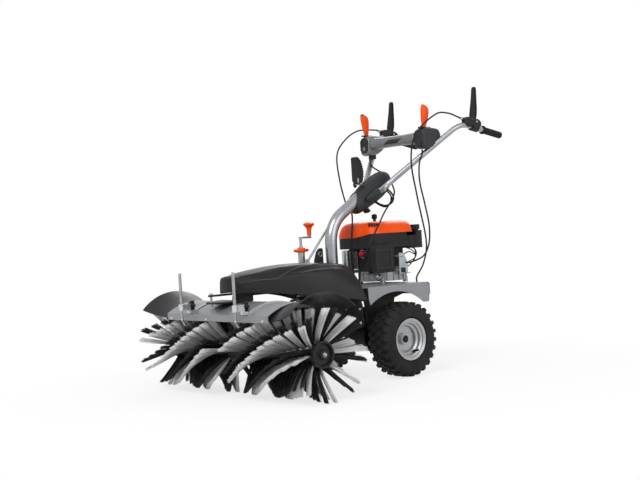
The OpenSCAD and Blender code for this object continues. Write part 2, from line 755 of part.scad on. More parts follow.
module crankshaft() {
  r = small_pulley_d / 2;
  h = pulley_h / 2;
  wheel_low = cowl_seam + 4;
  color([0.6, 0.61, 0.62]) union() {
    rod_z(0, engine_y, lower_belt_z, cowl_seam + 20, crank_d / 2);
    translate([0, engine_y, lower_belt_z]) rotate_extrude()
      polygon([[0, -h], [r, -h], [r, -8], [r - 10, -5.2], [r - 10, 5.2], [r, 8], [r, h], [0, h]]);
    rod_z(0, engine_y, wheel_low, wheel_low + 14, 92);
    for (i = [0:11]) translate([0, engine_y, wheel_low + 13]) rotate(i * 30) translate([58, -2, 0]) cube([30, 4, 12]);
  }
}

module cowl_knob() {
  y = engine_y - 30;
  color([0.1, 0.1, 0.11]) union() {
    rod_z(0, y, cowl_top - 12, cowl_top + 10, 4);
    rod_z(0, y, cowl_top + 0.3, cowl_top + 12, 6);
    rod_z(0, y, cowl_top + 11, cowl_top + 32, 11);
  }
}

module starter_pull() {
  rope_z = cowl_top - 26;
  grip_x = -engine_half - 22;
  color([0.1, 0.1, 0.11]) union() {
    rod_x(grip_x + 5, 62, engine_y + 46, rope_z, 2.5);
    rod_x(-engine_half - 12, -engine_half - 0.3, engine_y + 46, rope_z, 8);
    soft_block(grip_x, grip_x + 14, engine_y + 4, engine_y + 88, rope_z - 8, rope_z + 8, 6.5);
  }
}

module muffler() {
  x = -66;
  y = case_front - 30;
  color([0.75, 0.76, 0.77]) union() {
    rod_z(x, y, 452, 534, 20);
    rod_z(x, y, 533, 537, 16);
    rod_y(x, y, case_front + 8, 505, 9);
    // heat shield beside the can
    block(x + 12, x + 42, case_front - 3, case_front - 0.3, 448, 532);
    block(x + 12, x + 42, case_front - 2, case_front + 8, 500, 510);
  }
}

module air_filter() {
  x = engine_half + 1;
  y = case_front - 82;
  color([0.14, 0.14, 0.15]) union() {
    plate_x(x, 28) soft_rect(y, y + 130, 436, 552, 10);
    plate_x(x + 27, 5) soft_rect(y + 9, y + 121, 446, 542, 8);
    rod_x(case_half - 8, x + 1, y + 116, 500, 11);
  }
}

module governor_bracket() {
  y = engine_y;
  color([0.75, 0.77, 0.78]) union() {
    plate_x(128, 4) polygon([[y - 23, 424], [y + 27, 424], [y + 30, 468], [y + 9, 511], [y - 20, 515]]);
    for (z = [452, 500]) rod_x(case_half - 8, 129, y - 6, z, 6);
    block(128, 150, y + 6, y + 26, 424, 428);
  }
}

// Belts and upright shafts

module drive_belts() {
  color([0.1, 0.1, 0.1]) union() {
    belt(brush_y, brush_pulley_d, counter_y, small_pulley_d, upper_belt_z);
    belt(counter_y, counter_big_d, engine_y, small_pulley_d, lower_belt_z);
  }
}

module countershaft() {
  color([0.55, 0.56, 0.57]) union() {
    rod_z(0, counter_y, lower_belt_z - 14, upper_belt_z + 12, drive_d / 2);
    pulley(counter_y, lower_belt_z, counter_big_d);
    pulley(counter_y, upper_belt_z, small_pulley_d);
    for (z = [lower_belt_z, upper_belt_z]) rod_z(0, counter_y, z - 10, z + 10, drive_d / 2 + 4);
  }
}

bevel_r = 34;
bevel_h = 14;
// Radius of the smooth pitch cones over their nominal size, which leaves a small gap between them
cone = gap - 0.25;

module input_shaft() {
  tip = brush_z + bevel_r + gap;
  color([0.6, 0.61, 0.62]) union() {
    rod_z(0, brush_y, tip + 2, upper_belt_z + 12, drive_d / 2);
    translate([0, brush_y, tip - bevel_h]) cylinder(h = bevel_h, r1 = bevel_r + cone - bevel_h, r2 = bevel_r + cone);
    rod_z(0, brush_y, tip - 0.5, tip + 4, bevel_r - 4);
  }
}

module brush_pulley() { color([0.3, 0.3, 0.31]) pulley(brush_y, upper_belt_z, brush_pulley_d); }

module brush_gearbox() {
  cavity = gearbox_half - 6;
  color([0.15, 0.15, 0.16]) difference() {
    union() {
      rod_x(-gearbox_half, gearbox_half, brush_y, brush_z, gearbox_r);
      rod_z(0, brush_y, brush_z, neck_top, neck_r);
      rod_z(0, brush_y, hood_top, head_low - gap, neck_r + 12);
      // arched guide plate of the swivel stop, with its slot
      intersection() {
        rod_z(0, brush_y, hood_top, hood_top + 6, 146);
        block(-90, 30, brush_y - 150, brush_y - 10, hood_top - 1, hood_top + 7);
      }
    }
    rod_x(-cavity, cavity, brush_y, brush_z, gearbox_r - 8);
    rod_x(-gearbox_half - 1, gearbox_half + 1, brush_y, brush_z, shaft_d / 2 + run);
    rod_z(0, brush_y, brush_z, neck_top + 1, drive_d / 2 + run);
    rod_z(0, brush_y, brush_z, brush_z + gearbox_r - 8, bevel_r + 3);
    translate([0, brush_y, hood_top - 1]) rotate(-104.9 - 26) rotate_extrude(angle = 52)
      translate([125.5, 0]) square([14, 9]);
  }
}

// Brush

module brush_shaft() {
  reach = gearbox_half + half_len + 4;
  color([0.6, 0.61, 0.62]) union() {
    rod_x(-reach, reach, brush_y, brush_z, shaft_d / 2);
    translate([-bevel_r - gap, brush_y, brush_z]) rotate([0, 90, 0])
      cylinder(h = bevel_h, r1 = bevel_r + cone, r2 = bevel_r + cone - bevel_h);
    for (s = [-1, 1]) rod_x(s * reach - 6, s * reach + 6, brush_y, brush_z, 9);
  }
}

module brush_core() {
  x1 = gearbox_half + 6;
  x2 = gearbox_half + half_len;
  r0 = shaft_d / 2 + run;
  color([0.13, 0.13, 0.14]) for (s = [0, 1]) mirror([s, 0, 0]) turn_x(brush_y, brush_z)
    polygon([[r0, x1], [core_d / 2, x1], [core_d / 2, x2 - 14], [ring_d / 2, x2 - 14], [ring_d / 2, x2 + 4],
      [ring_d / 2 - 7, x2 + 4], [ring_d / 2 - 9, x2 - 8], [r0, x2 - 8]]);
}

// One strip of tufts: a helical backing of V section whose top face carries each tuft
module tuft_strip(start, hand) {
  x1 = gearbox_half + 10;
  pitch = (half_len - 18) / tufts;
  base = 0.7 * pitch;
  r0 = core_d / 2 + 0.3;
  r1 = r0 + 5;
  half_base = 3;
  function at(x, r, side) =
    let (a = start + hand * strip_turn * (x - x1) / half_len)
    [x, brush_y - r * cos(a) + side * sin(a), brush_z + r * sin(a) + side * cos(a)];
  function stations(i) = [x1 + i * pitch, x1 + i * pitch + base];
  function lean(i) = end_flare * pow(i / (tufts - 1), 6);
  xs = [for (i = [0:tufts - 1]) each stations(i)];
  n = len(xs);
  // three points a station: the keel and the two top edges, then four tip points a tuft
  ring = [for (x = xs) each [at(x, r0, 0), at(x, r1, -half_base), at(x, r1, half_base)]];
  tips = [for (i = [0:tufts - 1])
    let (a = stations(i)[0] - 3, b = stations(i)[1] + 3, h = tuft_t / 2, rt = sqrt(pow(brush_r, 2) - h * h))
    for (q = [[a, -h], [a, h], [b, -h], [b, h]])
      at(q[0] + 0.0, rt, q[1]) + [lean(i), 0, 0]];
  t0 = 3 * n;
  band = [for (i = [0:n - 2]) let (a = 3 * i, b = 3 * i + 3)
    each [[a, b, b + 1], [a, b + 1, a + 1], [a, b + 2, b], [a, a + 2, b + 2]]];
  gaps = [for (i = [0:tufts - 2]) let (a = 3 * (2 * i + 1), b = a + 3)
    each [[a + 1, b + 1, b + 2], [a + 1, b + 2, a + 2]]];
  walls = [for (i = [0:tufts - 1])
    let (a = 6 * i, b = a + 3, t = t0 + 4 * i)
    each [[a + 1, b + 1, t + 2], [a + 1, t + 2, t], [b + 2, a + 2, t + 1], [b + 2, t + 1, t + 3],
      [a + 2, a + 1, t], [a + 2, t, t + 1], [b + 1, b + 2, t + 3], [b + 1, t + 3, t + 2],
      [t, t + 2, t + 3], [t, t + 3, t + 1]]];
  ends = [[0, 1, 2], [3 * n - 3, 3 * n - 1, 3 * n - 2]];
  polyhedron(concat(ring, tips), concat(band, gaps, walls, ends));
}

// Both halves wind the same way, so the mirrored half turns against the other
module bristles(lead) {
  for (s = [0, 1]) mirror([s, 0, 0]) for (i = [0:2:strips - 1]) tuft_strip(i * 360 / strips + lead, 1 - 2 * s);
}

module bristles_white() { color([0.9, 0.9, 0.88]) bristles(5); }

module bristles_black() { color([0.1, 0.1, 0.1]) bristles(5 + pair_turn); }

// Hood, mudguards and accessory rods

module hood() {
  color("silver") difference() {
    union() {
      plate_x(-hood_half, 2 * hood_half) difference() {
        intersection() {
          translate([brush_y, hood_z]) circle(hood_r, $fn = 180);
          translate([brush_y - hood_depth, band_top]) square([2 * hood_depth, 200]);
        }
        translate([brush_y, hood_z]) circle(hood_r - sheet, $fn = 180);
      }
      for (y = [brush_y - hood_depth, brush_y + hood_depth - sheet])
        block(-hood_half, hood_half, y, y + sheet, band_low, band_top + 1.2);
    }
    rod_z(0, brush_y, band_low, hood_top + 1, neck_r + 0.3);
  }
}

// Flared profile of a mudguard, radius against x
function flare(t) = [guard_in_r + (guard_rim_r - guard_in_r) * pow(t, 2.2), hood_half - 16 + (guard_half - hood_half + 16) * t];
flare_steps = 8;

module mudguard() {
  outer = [for (i = [0:flare_steps]) flare(i / flare_steps)];
  inner = [for (i = [flare_steps:-1:0]) flare(i / flare_steps) - [wall, -1.2 * i / flare_steps]];
  translate([0, brush_y, brush_z]) rotate([0, 90, 0]) rotate([0, 0, 137]) rotate_extrude(angle = 88)
    polygon(concat(outer, inner));
}

module mudguard_left() { color([0.15, 0.15, 0.16]) mudguard(); }

module mudguard_right() { color([0.15, 0.15, 0.16]) mirror([1, 0, 0]) mudguard(); }

knob_y = brush_y - hood_depth + 9;
screw_z = band_top + star_d / 2 + 17;
// The rod's shank in its clamp is a little thinner than its free end
shank_r = rod_d / 2 - 1;
rod_travel = 30;
clamp_low = rod_foot + rod_d / 2 + rod_travel + 1;

module rod_clamps() {
  y_rod = brush_y - rod_ahead;
  strap_r = hood_r + 0.2;
  color([0.72, 0.73, 0.74]) for (x = [-rod_x, rod_x]) difference() {
    union() {
      rod_z(x, y_rod, clamp_low, screw_z + 8, sleeve_r);
      block(x - 9, x + 9, y_rod, brush_y - hood_depth - gap, clamp_low, screw_z + 8);
      block(x - 9, x + 9, brush_y - hood_depth - gap - 1, brush_y - hood_depth + 6, band_top + 6, screw_z + 8);
      translate([x + 17, brush_y, hood_z]) rotate([0, 90, 0]) rotate([0, 0, 148]) rotate_extrude(angle = 63)
        translate([strap_r, -1]) square([4, 10]);
      block(x + 4, x + 29, brush_y - hood_depth - gap - 10, brush_y - hood_depth + 6, band_top + 4, band_top + 16);
    }
    rod_z(x, y_rod, clamp_low - 1, screw_z + 9, shank_r + run);
    rod_y(x, y_rod, knob_y + 1, screw_z, 4 + run);
  }
}

module accessory_rod(x) {
  y = brush_y - rod_ahead;
  color([0.72, 0.73, 0.74]) union() {
    rod_z(x, y, rod_foot, screw_z + 12, shank_r);
    rod_z(x, y, screw_z + 12, rod_top, rod_d / 2);
    translate([x, y, rod_foot]) sphere(r = rod_d / 2 + 0.2);
    bar([x, y, rod_foot], [x, y + 13, rod_foot - 21], shank_r);
  }
}

module accessory_rod_left() { accessory_rod(rod_x); }

module accessory_rod_right() { accessory_rod(-rod_x); }

module star_knob(x) {
  lobe = star_d * 0.16;
  y1 = knob_y - 2 + gap;
  color([0.1, 0.1, 0.11]) union() {
    rod_y(x, brush_y - rod_ahead + shank_r + 0.3, y1 + 1, screw_z, 4);
    rod_y(x, y1, y1 + 14, screw_z, star_d * 0.36);
    for (i = [0:4]) translate([x, y1, screw_z]) rotate([-90, i * 72, 0])
      translate([star_d / 2 - lobe, 0, 1]) cylinder(h = 12, r = lobe);
  }
}

module star_knob_left() { star_knob(rod_x); }

module star_knob_right() { star_knob(-rod_x); }

module head_bolts() {
  color([0.7, 0.71, 0.72]) union() {
    for (x = [-305, -60, 140, 305]) translate([x, brush_y - hood_depth, band_low + 7]) rotate([90, 0, 0]) bolt_head(5);
    for (s = [-1, 1]) translate([s * (hood_half - 8), brush_y, hood_top]) bolt_head(4);
  }
}

// Wheels

module tyre() {
  r = tyre_r;
  h = tyre_w / 2;
  b = rim_d / 2 - 8;
  w = h - 9;
  turn_x(axle_y, tyre_r) translate([0, wheel_x]) polygon([
    [b, w - 14], [b, w - 4], [rim_d / 2 + 2, w - 3], [rim_d / 2 + 8, h - 2], [rim_d / 2 + 30, h], [r - 26, h - 2],
    [r - 10, h - 8], [r - 3, h - 18], [r, h - 34], [r, 34 - h], [r - 3, 18 - h], [r - 10, 8 - h],
    [r - 26, 2 - h], [rim_d / 2 + 30, -h], [rim_d / 2 + 8, 2 - h], [rim_d / 2 + 2, 3 - w], [b, 4 - w], [b, 14 - w],
    [rim_d / 2 + 12, 12 - h], [r - 30, 12 - h], [r - 14, 34 - h], [r - 14, h - 34], [r - 30, h - 12],
    [rim_d / 2 + 12, h - 12]]);
}

module rim() {
  h = tyre_w / 2 - 6;
  f = rim_d / 2;
  b = f - 8.2;
  hub = axle_d / 2 + run;
  turn_x(axle_y, tyre_r) translate([0, wheel_x]) polygon([
    [hub, 14], [hub + 12, 14], [hub + 12, 2], [f - 34, 6], [f - 30, 20], [f - 22, 24], [f - 20, 36], [b - 3, 40],
    [b - 3, h - 4], [f, h], [f, h - 2.6], [b, h - 7], [b, h - 22], [f - 18, h - 26], [f - 18, 26 - h], [b, 22 - h],
    [b, 7 - h], [f, 2.6 - h], [f, -h], [b - 3, 4 - h], [b - 3, 20 - h], [f - 22, 24 - h], [f - 22, 19],
    [f - 26, 16], [f - 30, 2], [hub + 12, -3], [hub + 12, -24], [hub, -24]]);
}

module half_shaft() {
  rod_x(26, wheel_x + 16, axle_y, tyre_r, axle_d / 2);
  rod_x(wheel_x + 14 + run, wheel_x + 18, axle_y, tyre_r, axle_d / 2 + 5);
}

module tyre_left() { color([0.1, 0.1, 0.11]) tyre(); }

module tyre_right() { color([0.1, 0.1, 0.11]) mirror([1, 0, 0]) tyre(); }

module rim_left() { color([0.78, 0.79, 0.8]) rim(); }

module rim_right() { color([0.78, 0.79, 0.8]) mirror([1, 0, 0]) rim(); }

module half_shaft_left() { color([0.5, 0.5, 0.52]) half_shaft(); }

module half_shaft_right() { color([0.5, 0.5, 0.52]) mirror([1, 0, 0]) half_shaft(); }

// Handlebar and its controls

module handle_tube() {
  difference() {
    union() {
      bent_bar(handle_path, handle_r, handle_r + 0.3);
      rod_x(eye_x - eye_half, eye_x + eye_half, pivot_y, pivot_z, handle_r + 5);
    }
    rod_x(eye_x - eye_half - 1, eye_x + eye_half + 1, pivot_y, pivot_z, pin_d + run);
  }
}

module handle_tube_left() { color([0.72, 0.73, 0.74]) handle_tube(); }

module handle_tube_right() { color([0.72, 0.73, 0.74]) mirror([1, 0, 0]) handle_tube(); }

module handle_grips() {
  color([0.12, 0.12, 0.13]) for (s = [0, 1]) mirror([s, 0, 0]) difference() {
    union() {
      bar(grip_root, grip_tip, grip_d / 2);
      bar(grip_root, grip_root + tail_dir * 6, grip_d / 2 + 4);
    }
    bar(grip_root - tail_dir, handle_path[3] + tail_dir * 0.2, handle_r + run);
  }
}

module lever_brackets() {
  b = lever_base;
  y = lever_pin[1];
  z = lever_pin[2];
  color([0.14, 0.14, 0.15]) for (s = [0, 1]) mirror([s, 0, 0]) {
    difference() {
      union() {
        bar(b - tail_dir * 22, b + tail_dir * 16, handle_r + 6);
        plate_x(b[0] - 13, 26) polygon([[y - 46, z - 10], [y - 46, z + 18], [y - 20, z + 20], [y - 12, z + 9],
          [y + 16, z + 11], [y + 22, z - 2], [y + 20, z - 24], [y - 20, z - 24]]);
        bar([b[0], y - 78, z + 13], [b[0], y - 40, z + 6], 7);
      }
      bar(b - tail_dir * 90, b + tail_dir * 60, handle_r + run);
      block(b[0] - lever_t / 2 - gap, b[0] + lever_t / 2 + gap, y - 18, y + 26, b[2] + handle_r + 1, z + 30);
    }
    rod_x(b[0] - 15, b[0] + 15, y, z, pin_d / 2);
  }
}

module clutch_lever() {
  top = lever_len;
  translate([0, lever_pin[1], lever_pin[2]]) rotate([-lever_lean, 0, 0]) difference() {
    union() {
      plate_x(lever_pin[0] - lever_t / 2, lever_t) polygon([[-9, 4], [9, 4], [14, 42], [13, 90], [9, top - 8],
        [5, top], [-6, top], [-10, top - 10], [-14, 90], [-14, 42]]);
      rod_x(lever_pin[0] - lever_t / 2, lever_pin[0] + lever_t / 2, 0, 0, 9);
    }
    rod_x(lever_pin[0] - 10, lever_pin[0] + 10, 0, 0, pin_d / 2 + run);
  }
}

module clutch_lever_left() { color([0.1, 0.1, 0.11]) clutch_lever(); }

module clutch_lever_right() { color([0.1, 0.1, 0.11]) mirror([1, 0, 0]) clutch_lever(); }

module console() {
  front = back(console_back);
  inner = console_lever_x - 40;
  outer = console_lever_x + 22;
  low = pod_top - pod_h;
  color([0.3, 0.31, 0.32]) difference() {
    union() {
      for (s = [0, 1]) mirror([s, 0, 0]) {
        plate_x(inner, outer - inner) polygon([[front, low + 14], [front + 16, low], [front + 62, low],
          [front + pod_len, low + 46], [front + pod_len, pod_top - 30], [front + pod_len - 22, pod_top - 4],
          [front + 40, pod_top], [front + 12, pod_top - 8], [front, pod_top - 26]]);
      }
      plate_x(-inner - 1, 2 * inner + 2) polygon([[front + 2, low + 36], [front + 48, low + 24],
        [front + 84, low + 60], [front + 56, pod_top - 14], [front + 14, pod_top - 20]]);
    }
    for (s = [0, 1]) mirror([s, 0, 0]) {
      bar(handle_path[1], handle_path[2], handle_r + 0.3);
      translate(handle_path[2]) sphere(r = handle_r + 1);
      // well of the orange lever, open at the top
      block(console_lever_x - stick_t / 2 - gap, console_lever_x + stick_t / 2 + gap, stick_y - 32, stick_y + 32,
        stick_z - 14, pod_top + 1);
    }
  }
  color([0.3, 0.31, 0.32]) for (x = [-console_lever_x, console_lever_x]) rod_x(x - 12, x + 12, stick_y, stick_z, pin_d / 2);
}

module control_lever(lean) {
  translate([0, stick_y, stick_z]) rotate([-lean, 0, 0]) difference() {
    union() {
      rod_x(console_lever_x - stick_t / 2, console_lever_x + stick_t / 2, 0, 0, 10);
      plate_x(console_lever_x - stick_t / 2, stick_t) polygon([[-6, 0], [6, 0], [10, 24], [13, 46],
        [17, stick_len - 30], [14, stick_len - 14], [3, stick_len - 2], [-9, stick_len], [-12, stick_len - 6],
        [-11, 46], [-12, 24]]);
    }
    rod_x(console_lever_x - 20, console_lever_x + 20, 0, 0, pin_d / 2 + run);
  }
}

module control_lever_left() { color([0.93, 0.4, 0.1]) control_lever(4); }

module control_lever_right() { color([0.93, 0.4, 0.1]) mirror([1, 0, 0]) control_lever(-10); }

// The lock lever's pin stands off the cover's upper face
function on_cover(a, b) = [pivot_y + a * cos(cover_tilt) - b * sin(cover_tilt),
  pivot_z + a * sin(cover_tilt) + b * cos(cover_tilt)];
lock_pin = on_cover(-58, cover_h / 2 + 9);
lock_half = 18;

module lock_lever() {
  color([0.12, 0.12, 0.13]) translate([0, lock_pin[0], lock_pin[1]]) difference() {
    union() {
      rod_x(-lock_half, lock_half, 0, 0, 8);
      plate_x(-lock_half, 2 * lock_half) polygon([[-8, 0], [8, 0], [20, 20], [22, 50], [15, 90], [3, 114], [-14, 119],
        [-18, 112], [-18, 16]]);
    }
    rod_x(-lock_half - 1, lock_half + 1, 0, 0, pin_d / 2 + run);
  }
}

// Bowden cables, each point chosen by hand along the route that the photo shows
cable_r = 3.5;
cable_tip = [lever_base[0], lever_pin[1] - 79.9, lever_pin[2] + 13.3];

module clutch_cables() {
  floor_z = deck_z + 0.3;
  color([0.08, 0.08, 0.08]) union() {
    swept([cable_tip, cable_tip + [0, -22, 6], [250, back(985), 1112], [235, back(921), 1106], [215, back(817), 1025],
      [205, back(787), 910], [200, back(816), 755], [195, back(862), 562], [192, back(842), 467],
      [190, back(798), 410], [190, back(795), floor_z]], cable_r);
    swept([[-cable_tip[0], cable_tip[1], cable_tip[2]], [-cable_tip[0], cable_tip[1] - 22, cable_tip[2] + 6],
      [-262, back(921), 1088], [-255, back(829), 1043], [-235, back(756), 972], [-160, back(696), 852],
      [-85, back(658), 742], [-34, back(640), 704], [-6, back(618), 664], [0, back(604), 600], [0, back(594), 513],
      [0, back(602), 449], [0, back(606), 410], [0, back(606), floor_z]], cable_r);
  }
}

module throttle_cables() {
  pod_low = pod_top - pod_h - 0.9;
  guide = 132.3;
  color([0.08, 0.08, 0.08]) union() {
    swept([[170, back(895), pod_low], [170, back(893), pod_low - 22], [170, back(872), 895], [171, back(868), 818],
      [172, back(892), 715], [174, back(908), 627], [172, back(903), 548], [164, back(872), 494],
      [150, back(812), 472], [142, back(797), 470], [guide, back(796), 470]], cable_r);
    swept([[-165, back(895), pod_low], [-164, back(893), pod_low - 18], [-120, back(866), 908], [-64, back(862), 878],
      [-10, back(860), 842], [36, back(842), 786], [54, back(803), 745], [60, back(756), 700], [96, back(698), 670],
      [128, back(648), 642], [140, back(600), 595], [138, back(571), 557], [118, back(562), 505],
      [90, back(560), 456], [80, back(561), 410], [80, back(561), deck_z + 0.3]], cable_r);
  }
}

module frame_bolts() {
  color([0.7, 0.71, 0.72]) union() {
    for (x = [-40, 40], y = [column_y - 18, column_y + 44]) translate([x, y, deck_z + foot_t]) bolt_head(5);
    for (s = [0, 1], z = [deck_low - 20, deck_low - 46]) mirror([s, 0, 0])
      translate([plate_x + plate_t, back(450), z]) rotate([0, 90, 0]) bolt_head(5);
    rod_x(-eye_x - eye_half - 3, eye_x + eye_half + 3, pivot_y, pivot_z, pin_d);
    // pin of the swivel stop, down into the guide slot
    rod_z(-34, brush_y - 128, hood_top - 12, head_low + 14, 5);
    translate([-34, brush_y - 128, head_low + 13]) bolt_head(8);
    for (s = [0, 1]) mirror([s, 0, 0]) translate([eye_x + eye_half + 1.5, pivot_y, pivot_z]) rotate([0, 90, 0])
      bolt_head(11);
  }
}

deck();
main_frame();
bonnet();
transaxle();
column();
column_brace();
joint_cover();
jack_tube();
crankcase();
fuel_tank();
engine_cowl();
muffler();
air_filter();
governor_bracket();
frame_bolts();
drive_belts();
clutch_cables();
throttle_cables();
tyre_left();
rim_left();
half_shaft_left();
tyre_right();
rim_right();
half_shaft_right();
hood();
mudguard_left();
mudguard_right();
brush_gearbox();
rod_clamps();
head_bolts();
input_shaft();
brush_pulley();
brush_shaft();
brush_core();
bristles_white();
bristles_black();
accessory_rod_left();
accessory_rod_right();
star_knob_left();
star_knob_right();
crank_arm();
crank_knob();
jack_leg();
support_wheel();
countershaft();
crankshaft();
handle_tube_left();
handle_tube_right();
handle_grips();
lever_brackets();
console();
clutch_lever_left();
clutch_lever_right();
control_lever_left();
control_lever_right();
lock_lever();
fuel_cap();
cowl_knob();
primer_button();
starter_pull();
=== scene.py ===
"""Walk-behind power brush sweeper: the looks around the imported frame, in metres."""

import json
from math import acos, copysign, cos, pi, radians, sin, sqrt, tan
import random

import bmesh
import bpy
from mathutils import Matrix, Vector

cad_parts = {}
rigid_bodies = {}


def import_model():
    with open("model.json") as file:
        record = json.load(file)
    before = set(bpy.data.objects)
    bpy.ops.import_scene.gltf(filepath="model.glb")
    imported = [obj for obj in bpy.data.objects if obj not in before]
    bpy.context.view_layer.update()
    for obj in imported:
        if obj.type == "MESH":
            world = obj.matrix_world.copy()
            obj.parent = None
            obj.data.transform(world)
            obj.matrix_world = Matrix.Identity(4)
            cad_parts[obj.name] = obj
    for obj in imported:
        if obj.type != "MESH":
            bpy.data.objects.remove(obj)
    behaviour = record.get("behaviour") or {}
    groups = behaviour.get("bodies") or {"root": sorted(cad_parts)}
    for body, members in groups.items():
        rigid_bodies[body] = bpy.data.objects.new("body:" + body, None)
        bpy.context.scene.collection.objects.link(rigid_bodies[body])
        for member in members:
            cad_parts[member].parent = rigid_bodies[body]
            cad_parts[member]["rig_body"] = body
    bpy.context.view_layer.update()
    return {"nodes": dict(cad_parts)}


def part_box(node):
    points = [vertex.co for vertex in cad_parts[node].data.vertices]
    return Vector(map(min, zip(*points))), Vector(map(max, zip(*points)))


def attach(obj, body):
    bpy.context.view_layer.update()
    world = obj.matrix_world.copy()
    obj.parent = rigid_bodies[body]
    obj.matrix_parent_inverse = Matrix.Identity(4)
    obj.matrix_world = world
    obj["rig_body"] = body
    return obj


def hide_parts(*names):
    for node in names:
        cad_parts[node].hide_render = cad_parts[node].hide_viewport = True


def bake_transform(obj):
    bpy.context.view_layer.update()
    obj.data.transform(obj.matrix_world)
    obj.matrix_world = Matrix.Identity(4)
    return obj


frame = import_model()
nodes = frame["nodes"]
MM = 0.001
X, Y, Z = (1, 0, 0), (0, 1, 0), (0, 0, 1)

# Main places of the machine, in millimetres as in the part's source
BRUSH_Y, BRUSH_Z, BRUSH_R = -565.48, 175.0, 175.0
GEARBOX_HALF, HALF_LEN, CORE_R = 42.0, 430.0, 38.0
STRIPS, TUFTS, STRIP_TURN, PAIR_TURN, END_FLARE = 16, 12, 90.0, 14.0, 70.0
CLUTCH_X, CLUTCH_Y, CLUTCH_Z = 263.05, 574.82, 1074.43


def back(b):
    """The y of a place that is b mm behind the brush axis."""
    return BRUSH_Y + b


JACK_X, JACK_Y, DECK_Z = -95.0, back(394), 385.0
PIVOT_Y, PIVOT_Z = back(738), 794.0
POD_TOP, POD_H, CONSOLE_Y, STICK_X = 1057.2, 97.0, back(868), 182
POD_LOW = POD_TOP - POD_H
ENGINE_Y, COWL_TOP = back(775), 656.0

# Camera at the photograph's viewing angle
YAW, PITCH, ROLL = radians(49.33), radians(-0.35), radians(-3.32)
FOCAL_PX, FRAME_PX, SENSOR = 1096.4, 640, 36.0
CAMERA_AT = (3.5113, -3.16078, 0.6184)


def make_camera():
    """The camera that the photograph was fitted with."""
    data = bpy.data.cameras.new("camera")
    data.sensor_width = SENSOR
    data.lens = FOCAL_PX / FRAME_PX * SENSOR
    camera = bpy.data.objects.new("camera", data)
    bpy.context.scene.collection.objects.link(camera)
    stand = Matrix.Translation(CAMERA_AT)
    for turn, axis in ((YAW, "Z"), (pi / 2 + PITCH, "X"), (ROLL, "Z")):
        stand = stand @ Matrix.Rotation(turn, 4, axis)
    camera.matrix_world = stand
    bpy.context.scene.camera = camera


make_camera()

# Materials


class Shader:
    """A node material, with short calls for the nodes that the finishes share."""

    def __init__(self, name):
        self.material = bpy.data.materials.new(name)
        self.material.use_nodes = True
        self.tree = self.material.node_tree
        self.bsdf = self.tree.nodes["Principled BSDF"]
        self.place = self.add("ShaderNodeTexCoord").outputs["Object"]

    def add(self, kind, **settings):
        """A new node with these settings."""
        node = self.tree.nodes.new(kind)
        for key, value in settings.items():
            setattr(node, key, value)
        return node

    def feed(self, socket, value):
        """Sets a socket to a number or a colour, or links another socket to it."""
        if isinstance(value, tuple):
            socket.default_value = (*value, 1.0)
        elif isinstance(value, (int, float)):
            socket.default_value = value
        else:
            self.tree.links.new(value, socket)

    def set(self, node, **values):
        """Feeds a node's inputs, named with _ for a space."""
        for name, value in values.items():
            self.feed(node.inputs[name.replace("_", " ")], value)
        return node

    def noise(self, scale, detail=4.0):
        """Noise over the object, with scale in features a metre."""
        node = self.add("ShaderNodeTexNoise")
        return self.set(node, Scale=scale, Detail=detail, Roughness=0.55, Vector=self.place).outputs["Fac"]

    def ramp(self, value, low, high):
        """A value spread so that low becomes 0 and high becomes 1."""
        node = self.add("ShaderNodeMapRange", clamp=True)
        return self.set(node, From_Min=low, From_Max=high, Value=value).outputs["Result"]

    def span(self, value, low, high):
        """A value from 0 to 1 spread between low and high."""
        node = self.add("ShaderNodeMapRange", clamp=True)
        return self.set(node, To_Min=low, To_Max=high, Value=value).outputs["Result"]

    def math(self, how, a, b):
        """A math node on two sockets or numbers."""
        node = self.add("ShaderNodeMath", operation=how)
        self.feed(node.inputs[0], a)
        self.feed(node.inputs[1], b)
        return node.outputs[0]

    def mix(self, factor, first, second):
        """A colour between two, each a socket or a tuple."""
        node = self.add("ShaderNodeMix", data_type="RGBA")
        self.set(node, Factor=factor)
        a, b = [s for s in node.inputs if s.type == "RGBA"]
        self.feed(a, first)
        self.feed(b, second)
        return [s for s in node.outputs if s.type == "RGBA"][0]

    def edges(self, radius):
        """(normal rounded at the edges, 1 on an edge that gets the lighter wear and painted highlight tone
        and 0 on the flat).
        """
        bevel = self.set(self.add("ShaderNodeBevel", samples=4), Radius=radius)
        dot = self.add("ShaderNodeVectorMath", operation="DOT_PRODUCT")
        self.feed(dot.inputs[0], bevel.outputs["Normal"])
        self.feed(dot.inputs[1], self.add("ShaderNodeNewGeometry").outputs["Normal"])
        return bevel.outputs["Normal"], self.ramp(dot.outputs["Value"], 0.995, 0.85)

    def bump(self, height, depth, normal=None):
        """A bump of this depth in metres."""
        node = self.set(self.add("ShaderNodeBump"), Strength=1.0, Distance=depth, Height=height)
        if normal is not None:
            self.set(node, Normal=normal)
        return node.outputs["Normal"]


def grey(v):
    """A neutral tone."""
    return (v, v, v)


